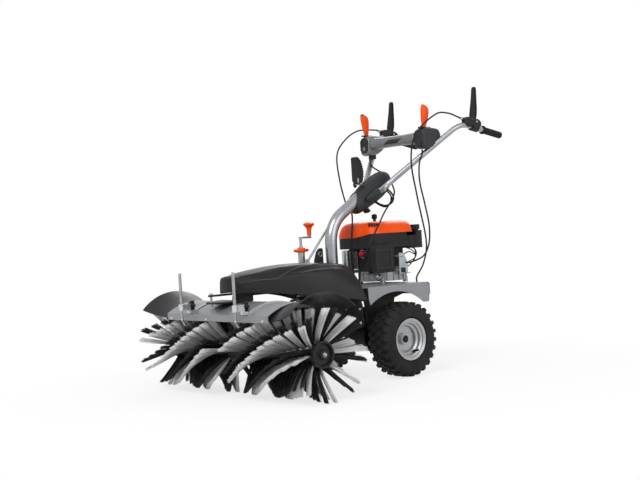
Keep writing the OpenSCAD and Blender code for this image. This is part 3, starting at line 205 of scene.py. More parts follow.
def finish(name, base, shade, rough, metal=0.0, mottle=9.0, grain=1400.0, depth=0.00004, wear_and_highlight_tone=None,
           edge=0.0012, rough_spread=0.08, coat=0.0, shine=0.5):
    """A hard surface: two tones in slow drifts, fine grain, rounded edges painted lighter, partly as wear and
    partly as a painted highlight.
    """
    s = Shader(name)
    normal, wear_and_highlight_mask = s.edges(edge)
    tone = s.mix(s.ramp(s.noise(mottle, 5.0), 0.35, 0.68), base, shade)
    fleck = s.noise(grain, 2.0)
    tone = s.mix(s.math("MULTIPLY", s.ramp(fleck, 0.45, 0.75), 0.25), tone, shade)
    # Lighter edges in patches: partly wear, partly a painted highlight along the edges
    if wear_and_highlight_tone:
        patch = s.ramp(s.noise(60.0, 3.0), 0.38, 0.6)
        tone = s.mix(s.math("MULTIPLY", s.math("MULTIPLY", wear_and_highlight_mask, patch), 0.7), tone, wear_and_highlight_tone)
    dull = s.span(s.noise(mottle * 3), rough - rough_spread, rough + rough_spread)
    s.set(s.bsdf, Base_Color=tone, Roughness=dull, Metallic=metal, Specular_IOR_Level=shine,
          Normal=s.bump(fleck, depth, normal))
    if coat:
        s.set(s.bsdf, Coat_Weight=coat, Coat_Roughness=0.12)
    return s.material


BLACK, SOOT = (0.01, 0.01, 0.011), (0.02, 0.02, 0.022)
silver_paint = finish("silver_paint", (0.27, 0.28, 0.295), (0.23, 0.24, 0.255), 0.38, 0.45, wear_and_highlight_tone=grey(0.5),
                      depth=0.00002)
black_paint = finish("black_paint", BLACK, SOOT, 0.42, wear_and_highlight_tone=grey(0.1), shine=0.15)
black_plastic = finish("black_plastic", (0.011, 0.011, 0.012), SOOT, 0.46, depth=0.00006, wear_and_highlight_tone=grey(0.045),
                       shine=0.18)
gloss_black = finish("gloss_black", (0.012, 0.012, 0.013), (0.018, 0.018, 0.02), 0.34, wear_and_highlight_tone=grey(0.06),
                     depth=0.00002, shine=0.25)
bonnet_black = finish("bonnet_black", (0.009, 0.009, 0.01), (0.014, 0.014, 0.015), 0.34, depth=0.00003,
                      grain=1200.0, wear_and_highlight_tone=grey(0.05), shine=0.18)
# A grey lighter than the bonnet's black, for the lips along its steps: a painted highlight
highlight_bead_gloss = finish("highlight_bead_gloss", (0.05, 0.051, 0.054), (0.035, 0.036, 0.038), 0.25, depth=0.00002)
dark_cover = finish("dark_cover", (0.022, 0.023, 0.026), (0.032, 0.033, 0.036), 0.48, depth=0.00008,
                    grain=1100.0, wear_and_highlight_tone=grey(0.07), shine=0.18)
orange = finish("orange_plastic", (0.90, 0.082, 0.0), (0.82, 0.070, 0.0), 0.38, depth=0.00002, coat=0.05,
                wear_and_highlight_tone=(0.88, 0.17, 0.03), shine=0.2)
red_rubber = finish("red_rubber", (0.5, 0.006, 0.012), (0.4, 0.005, 0.01), 0.4, shine=0.3)
tube_steel = finish("tube_steel", (0.33, 0.34, 0.36), (0.28, 0.29, 0.31), 0.25, 0.85, mottle=14.0,
                    grain=500.0, depth=0.000004, rough_spread=0.04)
bright_zinc = finish("bright_zinc", (0.62, 0.63, 0.64), (0.52, 0.53, 0.54), 0.28, 0.8, mottle=40.0)
zinc = finish("zinc", (0.38, 0.39, 0.4), (0.29, 0.3, 0.31), 0.3, 0.9, mottle=45.0, wear_and_highlight_tone=grey(0.6))
rim_paint = finish("rim_paint", (0.4, 0.41, 0.42), (0.34, 0.35, 0.36), 0.3, 0.6, mottle=16.0, depth=0.00002,
                   wear_and_highlight_tone=grey(0.6))
shaft_steel = finish("shaft_steel", (0.4, 0.41, 0.42), (0.3, 0.31, 0.32), 0.32, 0.95, mottle=30.0)
casting = finish("casting", (0.36, 0.37, 0.38), (0.25, 0.26, 0.27), 0.5, 0.7, mottle=50.0, grain=700.0,
                 depth=0.0002)
pulley_iron = finish("pulley_iron", (0.12, 0.12, 0.125), (0.08, 0.08, 0.085), 0.5, 0.7, depth=0.0001)
bright_can = finish("bright_can", (0.5, 0.51, 0.52), (0.4, 0.4, 0.39), 0.2, 0.9, mottle=20.0)
rubber = finish("rubber", BLACK, grey(0.018), 0.6, depth=0.0001, grain=900.0, wear_and_highlight_tone=grey(0.035), shine=0.15)
tyre_rubber = finish("tyre_rubber", BLACK, (0.02, 0.0195, 0.019), 0.66, depth=0.00018, grain=700.0,
                     mottle=26.0, wear_and_highlight_tone=(0.04, 0.038, 0.036), edge=0.002, shine=0.15)
plate_grey = finish("plate_grey", (0.5, 0.52, 0.56), (0.42, 0.44, 0.48), 0.35, 0.3)
# A darker grey for the near pod only, unlike its grey twin and the band: painted shade
shaded_pod_grey = finish("shaded_pod_grey", (0.03, 0.031, 0.035), (0.04, 0.041, 0.045), 0.42, depth=0.00008,
                  wear_and_highlight_tone=grey(0.08), shine=0.2)
band_grey = finish("band_grey", (0.17, 0.175, 0.18), (0.14, 0.145, 0.15), 0.4, 0.1, depth=0.00005,
                   wear_and_highlight_tone=grey(0.32))

FINISH = {
    silver_paint: ["deck", "hood"],
    black_paint: ["main_frame", "brush_gearbox", "transaxle"],
    black_plastic: ["bonnet", "fuel_tank", "air_filter", "lever_brackets", "clutch_lever_left",
                    "clutch_lever_right", "lock_lever", "fuel_cap", "cowl_knob", "starter_pull",
                    "brush_core"],
    gloss_black: ["mudguard_left", "mudguard_right"],
    dark_cover: ["joint_cover", "console"],
    orange: ["engine_cowl", "crank_knob", "control_lever_left", "control_lever_right"],
    red_rubber: ["primer_button"],
    tube_steel: ["column", "column_brace", "handle_tube_left", "handle_tube_right"],
    zinc: ["jack_tube", "jack_leg", "crank_arm", "frame_bolts", "accessory_rod_left", "accessory_rod_right"],
    bright_zinc: ["rod_clamps", "head_bolts"],
    rim_paint: ["rim_left", "rim_right"],
    plate_grey: ["governor_bracket"],
    shaft_steel: ["half_shaft_left", "half_shaft_right", "input_shaft", "brush_shaft", "countershaft",
                  "crankshaft"],
    casting: ["crankcase"],
    pulley_iron: ["brush_pulley"],
    bright_can: ["muffler"],
    tyre_rubber: ["tyre_left", "tyre_right", "support_wheel"],
    rubber: ["drive_belts", "handle_grips", "star_knob_left", "star_knob_right", "clutch_cables",
             "throttle_cables"],
}
for material, names in FINISH.items():
    for name in names:
        nodes[name].data.materials.clear()
        nodes[name].data.materials.append(material)

# Shapes
TUBE_REF = Vector((0.93, -0.3, 0.2))


def basis(axis):
    """An axis and two directions square to it."""
    axis = Vector(axis).normalized()
    across = axis.orthogonal().normalized()
    return axis, across, axis.cross(across)


def circle(mid, across, over, radius, n):
    """A ring of n points."""
    turns = [2 * pi * k / n for k in range(n)]
    return [mid + across * (radius * cos(q)) + over * (radius * sin(q)) for q in turns]


def oval(centre, across, up, half_w, half_h, n=20, square=2.5):
    """A ring between an ellipse (square 2) and a rectangle."""
    ring = []
    for k in range(n):
        q = 2 * pi * (k + 0.5) / n
        c, s = cos(q), sin(q)
        w = half_w * copysign(abs(c) ** (2 / square), c)
        h = half_h * copysign(abs(s) ** (2 / square), s)
        ring.append(Vector(centre) + Vector(across) * w + Vector(up) * h)
    return ring


def spline(p, i, t):
    """A point between p[i] and p[i + 1] on a smooth curve through all of p."""
    a, b, c, d = p[max(i - 1, 0)], p[i], p[i + 1], p[min(i + 2, len(p) - 1)]
    bend = 2 * a - 5 * b + 4 * c - d
    return 0.5 * (2 * b + (c - a) * t + bend * t * t + (3 * b - a - 3 * c + d) * t ** 3)


def heading(line, i):
    """The direction of a line at its point i."""
    return (line[min(i + 1, len(line) - 1)] - line[max(i - 1, 0)]).normalized()


def fillet(path, radius, steps=10):
    """A path of straight runs whose corners are rounded to a bend radius."""
    path = [Vector(q) for q in path]
    out = [path[0]]
    for before, corner, after in zip(path, path[1:], path[2:]):
        u, v = (before - corner).normalized(), (after - corner).normalized()
        half = acos(max(-1.0, min(1.0, u.dot(v)))) / 2
        reach = min(radius / tan(half), 0.48 * (before - corner).length, 0.48 * (after - corner).length)
        first, last = corner + u * reach, corner + v * reach
        for k in range(steps + 1):
            t = k / steps
            out.append(first * (1 - t) ** 2 + corner * (2 * t * (1 - t)) + last * t * t)
    return out + [path[-1]]


class Form:
    """A piece in the making: points, in millimetres, and faces. Calls from loft to tube return the form."""

    def __init__(self):
        self.points, self.faces = [], []

    def skin(self, base, n, rings):
        """Faces over rings of n points each, from a base point on, with closed ends."""
        for i in range(rings - 1):
            for k in range(n):
                a, b = base + i * n + k, base + i * n + (k + 1) % n
                self.faces.append((a, b, b + n, a + n))
        self.faces.append(tuple(base + k for k in reversed(range(n))))
        self.faces.append(tuple(base + (rings - 1) * n + k for k in range(n)))

    def wrap(self, base, n, rows):
        """Faces over rows of n points each, from a base point on, closed both ways."""
        for i in range(rows):
            a, b = base + i * n, base + (i + 1) % rows * n
            for k in range(n):
                j = (k + 1) % n
                self.faces.append((a + k, a + j, b + j, b + k))

    def loft(self, rings):
        """A closed skin over rings of as many points each."""
        base = len(self.points)
        for ring in rings:
            self.points.extend(tuple(q) for q in ring)
        self.skin(base, len(rings[0]), len(rings))
        return self

    def plate(self, outline, x1, x2):
        """An outline in y and z drawn out along x."""
        return self.loft([[(x, y, z) for y, z in outline] for x in (x1, x2)])

    def box(self, low, high):
        """A block between two corners."""
        (x1, y1, z1), (x2, y2, z2) = low, high
        return self.loft([[(x1, y1, z), (x2, y1, z), (x2, y2, z), (x1, y2, z)] for z in (z1, z2)])

    def turned(self, foot, axis, profile, n=28):
        """A turned shape: (radius, height) rows along an axis from a foot point."""
        axis, across, over = basis(axis)
        return self.loft([circle(Vector(foot) + axis * h, across, over, max(r, 0.01), n) for r, h in profile])

    def hoop(self, foot, axis, profile, n=28):
        """A closed ring round an axis, from a closed outline of (radius, height) rows."""
        axis, across, over = basis(axis)
        base = len(self.points)
        for k in range(n):
            q = 2 * pi * k / n
            out = across * cos(q) + over * sin(q)
            self.points.extend(tuple(Vector(foot) + axis * h + out * r) for r, h in profile)
        self.wrap(base, len(profile), n)
        return self

    def hex_bolt(self, foot, axis, size):
        """A flanged hexagon head of this radius on a face."""
        flange = [(size * 1.25, -0.3), (size * 1.25, size * 0.18), (size, size * 0.25)]
        head = [(size, size * 0.2), (size, size * 0.75), (size * 0.82, size * 0.95)]
        return self.turned(foot, axis, flange, 20).turned(foot, axis, head, 6)

    def pipe(self, line, radius, sides=24):
        """A round bar along a dense line, without twist."""
        line = [Vector(q) for q in line]
        across = (line[1] - line[0]).orthogonal().normalized()
        rings = []
        for i, mid in enumerate(line):
            along = heading(line, i)
            across = (across - along * across.dot(along)).normalized()
            rings.append(circle(mid, across, along.cross(across), radius, sides))
        return self.loft(rings)

    def tube(self, route, radius, steps=12, sides=12):
        """A round tube on a smooth curve through a route."""
        path = [Vector(q) for q in route]
        line = [spline(path, i, k / steps) for i in range(len(path) - 1) for k in range(steps)] + [path[-1]]
        rings = []
        for i, mid in enumerate(line):
            along = heading(line, i)
            across = along.cross(TUBE_REF).normalized()
            rings.append(circle(mid, across, across.cross(along), radius, sides))
        return self.loft(rings)

    def add(self, other):
        """Takes in another form."""
        base = len(self.points)
        self.points += other.points
        self.faces += [tuple(base + k for k in face) for face in other.faces]

    def moved(self, place):
        """A copy with each point put where a function says."""
        copy = Form()
        copy.points = [place(*q) for q in self.points]
        copy.faces = self.faces
        return copy

    def mirrored(self, side):
        """A copy on the left side, or its mirror image on the right."""
        return self.moved(lambda x, y, z: (side * x, y, z))


# Pieces


def mesh_piece(name, form, material, body=None):
    """A mesh object from a form, riding on a body."""
    mesh = bpy.data.meshes.new(name)
    mesh.from_pydata([(x * MM, y * MM, z * MM) for x, y, z in form.points], [], form.faces)
    mesh.update()
    grid = bmesh.new()
    grid.from_mesh(mesh)
    bmesh.ops.recalc_face_normals(grid, faces=grid.faces)
    grid.to_mesh(mesh)
    grid.free()
    mesh.polygons.foreach_set("use_smooth", [True] * len(mesh.polygons))
    mesh.materials.append(material)
    piece = bpy.data.objects.new(name, mesh)
    bpy.context.scene.collection.objects.link(piece)
    if body:
        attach(piece, body)
    return piece


def dress(name, form, material, node):
    """A piece that stands for a CAD node: it rides on the node's body, and the node is hidden."""
    piece = mesh_piece(name, form, material, nodes[node]["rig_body"])
    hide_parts(node)
    return piece


def trim(name, form, material, body="chassis"):
    """A small piece on a body."""
    return mesh_piece(name, form, material, body)


def crisp(piece, angle):
    """Keeps a piece's edges sharp where they bend more than this."""
    piece.data.set_sharp_from_angle(angle=radians(angle))
    return piece


def soften(piece, levels=2):
    """Subdivides a piece into a smooth form."""
    step = piece.modifiers.new("smooth_form", "SUBSURF")
    step.levels = levels
    step.render_levels = levels
    return piece


def round_edges(piece, width, angle=32.0):
    """Rounds a piece's sharp edges, with width in millimetres."""
    crisp(piece, angle)
    step = piece.modifiers.new("round_edges", "BEVEL")
    step.width = width * MM
    step.segments = 3
    step.limit_method = "ANGLE"
    step.angle_limit = radians(angle)
    step.harden_normals = True
    return piece


def cut_hole(piece, foot, axis, radius, depth):
    """Drills a round hole through a piece."""
    form = Form()
    form.turned(foot, axis, [(radius, 0), (radius, depth)], 32)
    drill = mesh_piece("drill", form, black_plastic)
    step = piece.modifiers.new("hole", "BOOLEAN")
    step.operation = "DIFFERENCE"
    step.solver = "EXACT"
    step.object = drill
    plain = piece.data
    piece.data = bpy.data.meshes.new_from_object(piece.evaluated_get(bpy.context.evaluated_depsgraph_get()))
    piece.modifiers.clear()
    bpy.data.objects.remove(drill)
    bpy.data.meshes.remove(plain)


def refine(name, sharp, width=0.0):
    """A copy of a CAD node with its facets joined, smooth curves and rounded edges, in the node's place."""
    grid = bmesh.new()
    grid.from_mesh(nodes[name].data)
    bmesh.ops.remove_doubles(grid, verts=grid.verts, dist=2e-6)
    bmesh.ops.dissolve_limit(grid, angle_limit=radians(0.6), verts=grid.verts, edges=grid.edges)
    grid.verts.index_update()
    form = Form()
    form.points = [tuple(v.co / MM) for v in grid.verts]
    form.faces = [tuple(v.index for v in f.verts) for f in grid.faces]
    grid.free()
    piece = dress(name + "_skin", form, nodes[name].data.materials[0], name)
    if width:
        round_edges(piece, width, sharp)
    else:
        crisp(piece, sharp)


# Bristles: each tuft of the source becomes a bunch of crimped strands on its helical strip
STRANDS, STRAND_R, STRAND_RINGS = 60, 1.1, 4
STRIP_X = GEARBOX_HALF + 10
STRIP_FOOT = CORE_R + 0.3
# How far a tuft's strands spread along the brush and across the strip, at the foot and at the tip
FOOT_LONG, FOOT_WIDE, TIP_LONG, TIP_WIDE = 10.0, 2.8, 15.0, 4.9
# How far a strand and a whole tuft stray from that, how far a strand bows and how much shorter it can be
STRAY_LONG, STRAY_WIDE, TUFT_LONG, TUFT_WIDE, BOW, SHORTER = 3.5, 2.4, 1.2, 1.0, 2.4, 9


def bristle_finish(name, base, shade, sheen):
    """Plastic bristle, with a tone of its own for each strand, darkened towards the foot as painted shade."""
    s = Shader(name)
    strand = s.add("ShaderNodeAttribute", attribute_name="strand")
    tip = s.add("ShaderNodeAttribute", attribute_name="along")
    tone = s.mix(strand.outputs["Fac"], base, shade)
    # Painted shade: each strand darkens towards its foot, deep in the packed tuft
    foot = s.math("MULTIPLY", s.math("SUBTRACT", 1.0, tip.outputs["Fac"]), 0.45)
    s.set(s.bsdf, Base_Color=s.mix(foot, tone, grey(0.01)), Roughness=sheen, Specular_IOR_Level=0.25,
          Normal=s.bump(s.noise(1800.0, 2.0), 0.0001))
    return s.material


def on_strip(start, hand, x, r, side):
    """A point of a strip: x along the brush, r from its axis and side along its turn."""
    a = radians(start + hand * STRIP_TURN * (x - STRIP_X) / HALF_LEN)
    c, s = cos(a), sin(a)
    return Vector((x, BRUSH_Y - r * c + side * s, BRUSH_Z + r * s + side * c))


def make_bristles(name, lead, material, seed):
    """All strands of one colour, with their backing strips. Both halves of the brush wind the same way."""
    draw = random.Random(seed)
    form = Form()
    tone, along = [], []
    pitch = (HALF_LEN - 18) / TUFTS

    def put(hand, p, t, a):
        """A point with its tone and its place along the strand."""
        form.points.append((hand * p.x, p.y, p.z))
        tone.append(t)
        along.append(a)

    def backing(start, hand):
        """The strip that holds the tufts."""
        steps = 2 * TUFTS
        base = len(form.points)
        for i in range(steps + 1):
            x = STRIP_X + (HALF_LEN - 22) * i / steps
            for rise, w in ((0, -2.0), (6, -4.2), (6, 4.2), (0, 2.0)):
                put(hand, on_strip(start, hand, x, STRIP_FOOT + rise, w), 0.5, 0.0)
        form.skin(base, 4, steps + 1)

    def strand(start, hand, middle, lean, tuft_x, tuft_side, tuft_shade):
        """One crimped strand, bent on its way from the strip to its tip."""
        u, v = draw.uniform(-1, 1), draw.uniform(-1, 1)
        x0 = middle + FOOT_LONG * u
        tip_x = middle + tuft_x + lean + TIP_LONG * u + draw.uniform(-STRAY_LONG, STRAY_LONG)
        reach = BRUSH_R - 0.4 - SHORTER * draw.random() ** 2
        foot_side = FOOT_WIDE * v
        tip_side = tuft_side + TIP_WIDE * v + draw.uniform(-STRAY_WIDE, STRAY_WIDE)
        bow = draw.uniform(-BOW, BOW)
        shade = 0.45 * tuft_shade + 0.55 * draw.random()
        turn = draw.uniform(0, 2 * pi)
        base = len(form.points)
        foot = STRIP_FOOT + 4
        for j in range(STRAND_RINGS + 1):
            t = j / STRAND_RINGS
            side = foot_side + (tip_side - foot_side) * t ** 1.2 + bow * sin(pi * t)
            r = min(foot + (reach - foot) * t, sqrt((BRUSH_R - 0.3) ** 2 - side * side) - STRAND_R)
            mid = on_strip(start, hand, x0, r, side)
            mid.x += (tip_x - x0) * t ** 1.3
            thick = STRAND_R * (1.0 - 0.3 * t)
            ray = Vector((0, mid.y - BRUSH_Y, mid.z - BRUSH_Z)).normalized()
            across = Vector((0, -ray.z, ray.y))
            for k in range(3):
                q = turn + 2 * pi * k / 3
                out = Vector((thick * cos(q), 0, 0)) + across * (thick * sin(q))
                put(hand, mid + out, shade, t)
        form.skin(base, 3, STRAND_RINGS + 1)

    for hand in (1, -1):
        for strip in range(0, STRIPS, 2):
            start = strip * 360 / STRIPS + lead
            backing(start, hand)
            for tuft in range(TUFTS):
                lean = END_FLARE * (tuft / (TUFTS - 1)) ** 6
                middle = STRIP_X + pitch * (tuft + 0.35)
                stray = (draw.uniform(-TUFT_LONG, TUFT_LONG), draw.uniform(-TUFT_WIDE, TUFT_WIDE))
                shade = draw.random()
                for _ in range(STRANDS):
                    strand(start, hand, middle, lean, *stray, shade)
    piece = mesh_piece(name + "_strands", form, material, "brush")
    for key, values in (("strand", tone), ("along", along)):
        layer = piece.data.attributes.new(key, "FLOAT", "POINT")
        layer.data.foreach_set("value", values)
    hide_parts(name)


white_bristle = bristle_finish("white_bristle", (0.98, 0.98, 0.97), (0.82, 0.82, 0.8), 0.45)
black_bristle = bristle_finish("black_bristle", (0.009, 0.009, 0.01), (0.022, 0.022, 0.023), 0.48)
make_bristles("bristles_white", 5.0, white_bristle, 11)
make_bristles("bristles_black", 5.0 + PAIR_TURN, black_bristle, 12)

# Bowden cables along the source's own points, bent between the frame and the handlebar
CABLE_R = 3.5
TIP_X, TIP_B, TIP_Z = CLUTCH_X, CLUTCH_Y - 79.9 - BRUSH_Y, CLUTCH_Z + 13.3
THROTTLE_Z = POD_LOW - 0.9
# Points as (x, behind the brush axis, z)
ROUTES = {
    "clutch_cables": [
        [(TIP_X, TIP_B, TIP_Z), (TIP_X, TIP_B - 22, TIP_Z + 6), (250, 985, 1112), (235, 921, 1106),
         (215, 817, 1025), (205, 787, 910), (200, 816, 755), (195, 862, 562), (192, 842, 467),
         (190, 798, 410), (190, 795, DECK_Z + 0.3)],
        [(-TIP_X, TIP_B, TIP_Z), (-TIP_X, TIP_B - 22, TIP_Z + 6), (-262, 921, 1088), (-255, 829, 1043),
         (-235, 756, 972), (-160, 696, 852), (-85, 658, 742), (-34, 640, 704), (-6, 618, 664),
         (0, 604, 600), (0, 594, 513), (0, 602, 449), (0, 606, 410), (0, 606, DECK_Z + 0.3)],
    ],
    "throttle_cables": [
        [(170, 895, THROTTLE_Z), (170, 893, THROTTLE_Z - 22), (170, 872, 895), (171, 868, 818),
         (172, 892, 715), (174, 908, 627), (172, 903, 548), (164, 872, 494), (150, 812, 472),
         (142, 797, 470), (132.3, 796, 470)],
        [(-165, 895, THROTTLE_Z), (-164, 893, THROTTLE_Z - 18), (-120, 866, 908), (-64, 862, 878),
         (-10, 860, 842), (36, 842, 786), (54, 803, 745), (60, 756, 700), (96, 698, 670), (128, 648, 642),
         (140, 600, 595), (138, 571, 557), (118, 562, 505), (90, 560, 456), (80, 561, 410),
         (80, 561, DECK_Z + 0.3)],
    ],
}
for node, routes in ROUTES.items():
    form = Form()
    for route in routes:
        form.tube([(x, back(b), z) for x, b, z in route], CABLE_R)
    piece = mesh_piece(node + "_sheath", form, rubber)
    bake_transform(piece)
    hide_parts(node)

# Cover of the handlebar joint: an egg-shaped shell along the column's slope, with the lock lever on it
TILT = radians(28)
ALONG, ABOVE = (0, cos(TILT), sin(TILT)), (0, -sin(TILT), cos(TILT))


def on_cover(a, b, x=0.0):
    """A place a along the cover's slope and b above its middle line."""
    return Vector((x, PIVOT_Y, PIVOT_Z)) + Vector(ALONG) * a + Vector(ABOVE) * b


LOCK_A, LOCK_B, LOCK_HALF = -58, 63, 18
LOCK_PIN = on_cover(LOCK_A, LOCK_B)
# Along the slope, above it, half height and half width
COVER = ((-141, -14, 22, 26), (-137, -14, 31, 33), (-112, -9, 39, 40), (-84, -6, 44, 44), (-40, -1, 51, 48.5),
         (20, 1, 54, 49.5), (66, 4, 49, 46), (98, 8, 36, 36), (113, 10, 22, 24), (118, 10, 10, 12))


def make_cover():
    """The shell, its lower tab, the lock lever's ears and pin, the seam and the slack of the cables below."""
    form = Form().loft([oval(on_cover(a, b), X, ABOVE, w, h, 20, 2.35) for a, b, h, w in COVER])
    soften(dress("cover_shell", form, dark_cover, "joint_cover"))
    form = Form()
    rows = ((-80, -34), (-78, -52), (-73, -66), (-71, -69))
    form.loft([oval(on_cover(a, b), ALONG, X, 13, 15, 12, 3) for a, b in rows])
    round_edges(trim("cover_tab", form, black_plastic), 1.5)
    form = Form()
    ear = ((-8, -14), (8, -14), (8, 0), (5.6, 5.6), (0, 8), (-5.6, 5.6), (-8, 0))
    outline = [on_cover(LOCK_A + a, LOCK_B + b) for a, b in ear]
    for side in (-1, 1):
        form.plate([(q.y, q.z) for q in outline], side * (LOCK_HALF + 0.6), side * (LOCK_HALF + 5.6))
    round_edges(trim("cover_ears", form, dark_cover), 1.0)
    form = Form().turned(LOCK_PIN - Vector((25.4, 0, 0)), X, [(4, 0), (5, 0.6), (5, 50.2), (4, 50.8)])
    trim("lock_pin", form, zinc)
    form = Form().pipe([on_cover(a, b + h * 0.985) for a, b, h, w in COVER[2:8]], 0.9, 8)
    trim("cover_seam", form, black_plastic)
    form = Form()
    for x, drop in ((43, 0), (34, 5)):
        form.tube([(x - 8, 208, 806), (x, 240, 788 - drop), (x, 262 - drop, 762), (x, 252 - drop, 737 - drop),
                   (x, 214, 724 - drop), (x, 172, 733), (x - 10, 150, 752)], 3.6, 10)
    trim("cover_loops", form, rubber)


def make_lock_lever():
    """The thick lever with ribs along its rear edge and a clip at its foot."""
    y, z = LOCK_PIN.y, LOCK_PIN.z
    outline = [(-8, 0), (8, 0), (17, 14), (21, 34), (22, 56), (17, 82), (9, 103), (0, 114), (-10, 119),
               (-16, 118), (-18.5, 110), (-18, 16)]
    form = Form().plate([(y + a, z + b) for a, b in outline], -LOCK_HALF, LOCK_HALF)
    round_edges(dress("lock_lever_body", form, black_plastic, "lock_lever"), 3.0, 20)
    form = Form()
    for a, b in ((20.6, 32), (21.8, 43), (22, 54), (20.4, 65), (18, 76), (14.6, 87), (10.4, 98)):
        form.turned((-16.5, y + a, z + b), X, [(2.2, 0), (3.4, 1.2), (3.4, 31.8), (2.2, 33)], 14)
    trim("lock_lever_ribs", form, black_plastic, "lock")
    form = Form().plate([(y - 11, z + 2), (y - 9, z + 24), (y - 17, z + 26), (y - 19, z + 8)], 18.2, 19.8)
    round_edges(trim("lock_lever_clip", form, zinc, "lock"), 0.5)


# Handlebar: bent tubes, the sleeves that take their lower ends, and grips
HANDLE_R, HANDLE_X, BEND_R, STUB_X = 12.5, 63.5, 95.0, 49.4
GRIP_LEN, GRIP_RIBS, RIB_PITCH = 122, 13, 8.2
CORNER = (262.0, PIVOT_Y + 312, PIVOT_Z + 274)
TAIL = (265.0, PIVOT_Y + 312 + 257, PIVOT_Z + 274 - 50)
TAIL_DIR = (Vector(TAIL) - Vector(CORNER)).normalized()
# Along the slope, half height, half width and x
SLEEVE = ((-96, 3, 3, 54), (-93, 11, 6, 56), (-72, 17, 11.5, 61.5), (-46, 19, 15, 65.2),
          (-26, 18.5, 15.4, 65.6), (-22, 17.6, 15, 65.4), (-21, 14.6, 13.4, 64.2))


def make_handles():
    """Both bent tubes with their pivot stubs, the sleeves and the ribbed grips."""
    tube = Form()
    path = [on_cover(-34, 0, HANDLE_X), on_cover(16, 0, HANDLE_X), CORNER, TAIL]
    tube.pipe(fillet(path, BEND_R, 14), HANDLE_R)
    tube.turned((STUB_X, PIVOT_Y, PIVOT_Z), X, [(9, 0), (11, 1), (11, 14), (9, 15)])
    for side, node in ((1, "handle_tube_left"), (-1, "handle_tube_right")):
        crisp(dress(node + "_bent", tube.mirrored(side), tube_steel, node), 40)
    form = Form()
    for side in (1, -1):
        form.loft([oval(on_cover(a, 0, side * x), X, ABOVE, w, h, 20, 2.2) for a, h, w, x in SLEEVE])
    soften(trim("pivot_sleeves", form, dark_cover, "handlebar"), 1)
    grip = Form()
    rows = [(13.5, 0), (19.3, 0.5), (19.3, 5.5), (15.2, 7)]
    for k in range(GRIP_RIBS):
        h = 12 + k * RIB_PITCH
        rows += [(15.2, h), (15.5, h + 0.8), (15.5, h + 5.2), (14.6, h + 6), (14.6, h + 7.4)]
    rows += [(15.4, 118), (14.4, 121), (10, 121.8)]
    grip.turned(Vector(TAIL) + TAIL_DIR * (4 - GRIP_LEN), TAIL_DIR, rows)
    form = Form()
    for side in (1, -1):
        form.add(grip.mirrored(side))
    crisp(dress("grips_ribbed", form, rubber, "handle_grips"), 40)


# Console: outlines as (behind its front, above its lower edge)
POD = [(0, 14), (6, 5), (18, 0), (60, 1), (96, 22), (122, 47), (124, 65), (116, 85), (100, 93), (40, 97),
       (14, 91), (2, 77)]
POD_MID, BAND_MID, BAND_HALF = (58, 50), (40, 52), 146
POD_ROWS = ((140, 0.72), (143, 0.88), (152, 0.98), (170, 1.0), (190, 0.99), (199, 0.94), (204, 0.82),
            (206, 0.6))
BAND = [(4, 36), (26, 27), (48, 25), (68, 42), (82, 60), (70, 73), (55, 82), (34, 81), (14, 76), (5, 63)]


def sized(outline, mid, k):
    """A console outline made k times as large about a middle point, in the frame's y and z."""
    return [(CONSOLE_Y + mid[0] + (a - mid[0]) * k, POD_LOW + mid[1] + (b - mid[1]) * k) for a, b in outline]


def band_size(x):
    """How large the band is at x: it widens towards the pods."""
    return 0.9 + 0.12 * (abs(x) / BAND_HALF) ** 2


def make_console():
    """Two pods and the grey band between them."""
    # The near pod takes a darker grey than its mirror twin: painted shade
    for side, name, material in ((1, "pod_near", shaded_pod_grey), (-1, "pod_far", band_grey)):
        form = Form()
        form.loft([[(side * x, y, z) for y, z in sized(POD, POD_MID, k)] for x, k in POD_ROWS])
        if side > 0:
            soften(dress(name, form, material, "console"))
        else:
            soften(trim(name, form, material, "handlebar"))
    form = Form()
    form.loft([[(x, y, z) for y, z in sized(BAND, BAND_MID, band_size(x))]
               for x in range(-BAND_HALF, BAND_HALF + 1, 12)])
    soften(trim("console_band", form, band_grey, "handlebar"), 1)


def make_console_trim():
    """Bare black faces on the pods, a cable bracket, a bare slanted panel and the wells of the levers."""
    form = Form()
    rows = ((16, 1.06), (2, 1.06), (-0.6, 1.0), (-0.6, 0.84), (1.6, 0.8), (1.6, 0.3))
    for x in (-173, 173):
        form.loft([oval((x, CONSOLE_Y + a, POD_LOW + 48), X, Z, 24 * k, 34 * k, 8, 3.4) for a, k in rows])
    round_edges(trim("pod_faces", form, gloss_black, "handlebar"), 0.8, 20)
    form = Form()
    form.box((-172, CONSOLE_Y + 26, POD_LOW - 14), (-154, CONSOLE_Y + 58, POD_LOW + 6))
    form.turned((-165, CONSOLE_Y + 30, POD_LOW - 12), (0.2, -0.1, -1), [(7, 0), (7, 8), (5, 9), (5, 14)], 16)
    round_edges(trim("pod_bracket", form, black_plastic, "handlebar"), 1.5)
    form = Form()
    lean, proud, deep = 16, 1.3, 2.1
    rings = []
    for x in range(-34, 47, 8):
        (y1, z1), (y2, z2) = sized((BAND[0], BAND[-1]), BAND_MID, band_size(x) + 0.004)
        rings.append([(x - lean, y1 - proud, z1 + 4), (x + lean, y2 - proud, z2 - 2),
                      (x + lean, y2 + deep, z2 - 2), (x - lean, y1 + deep, z1 + 4)])
    form.loft(rings)
    trim("console_panel", form, gloss_black, "handlebar")
    form = Form()
    for x in (-STICK_X, STICK_X):
        form.loft([oval((x, CONSOLE_Y + 36, POD_TOP - 1.6 + h), X, Y, 9 - i, 34 - i, 20, 6)
                   for h, i in ((-4, 0), (1.2, 0), (1.9, 0.8))])
    trim("lever_wells", form, black_plastic, "handlebar")


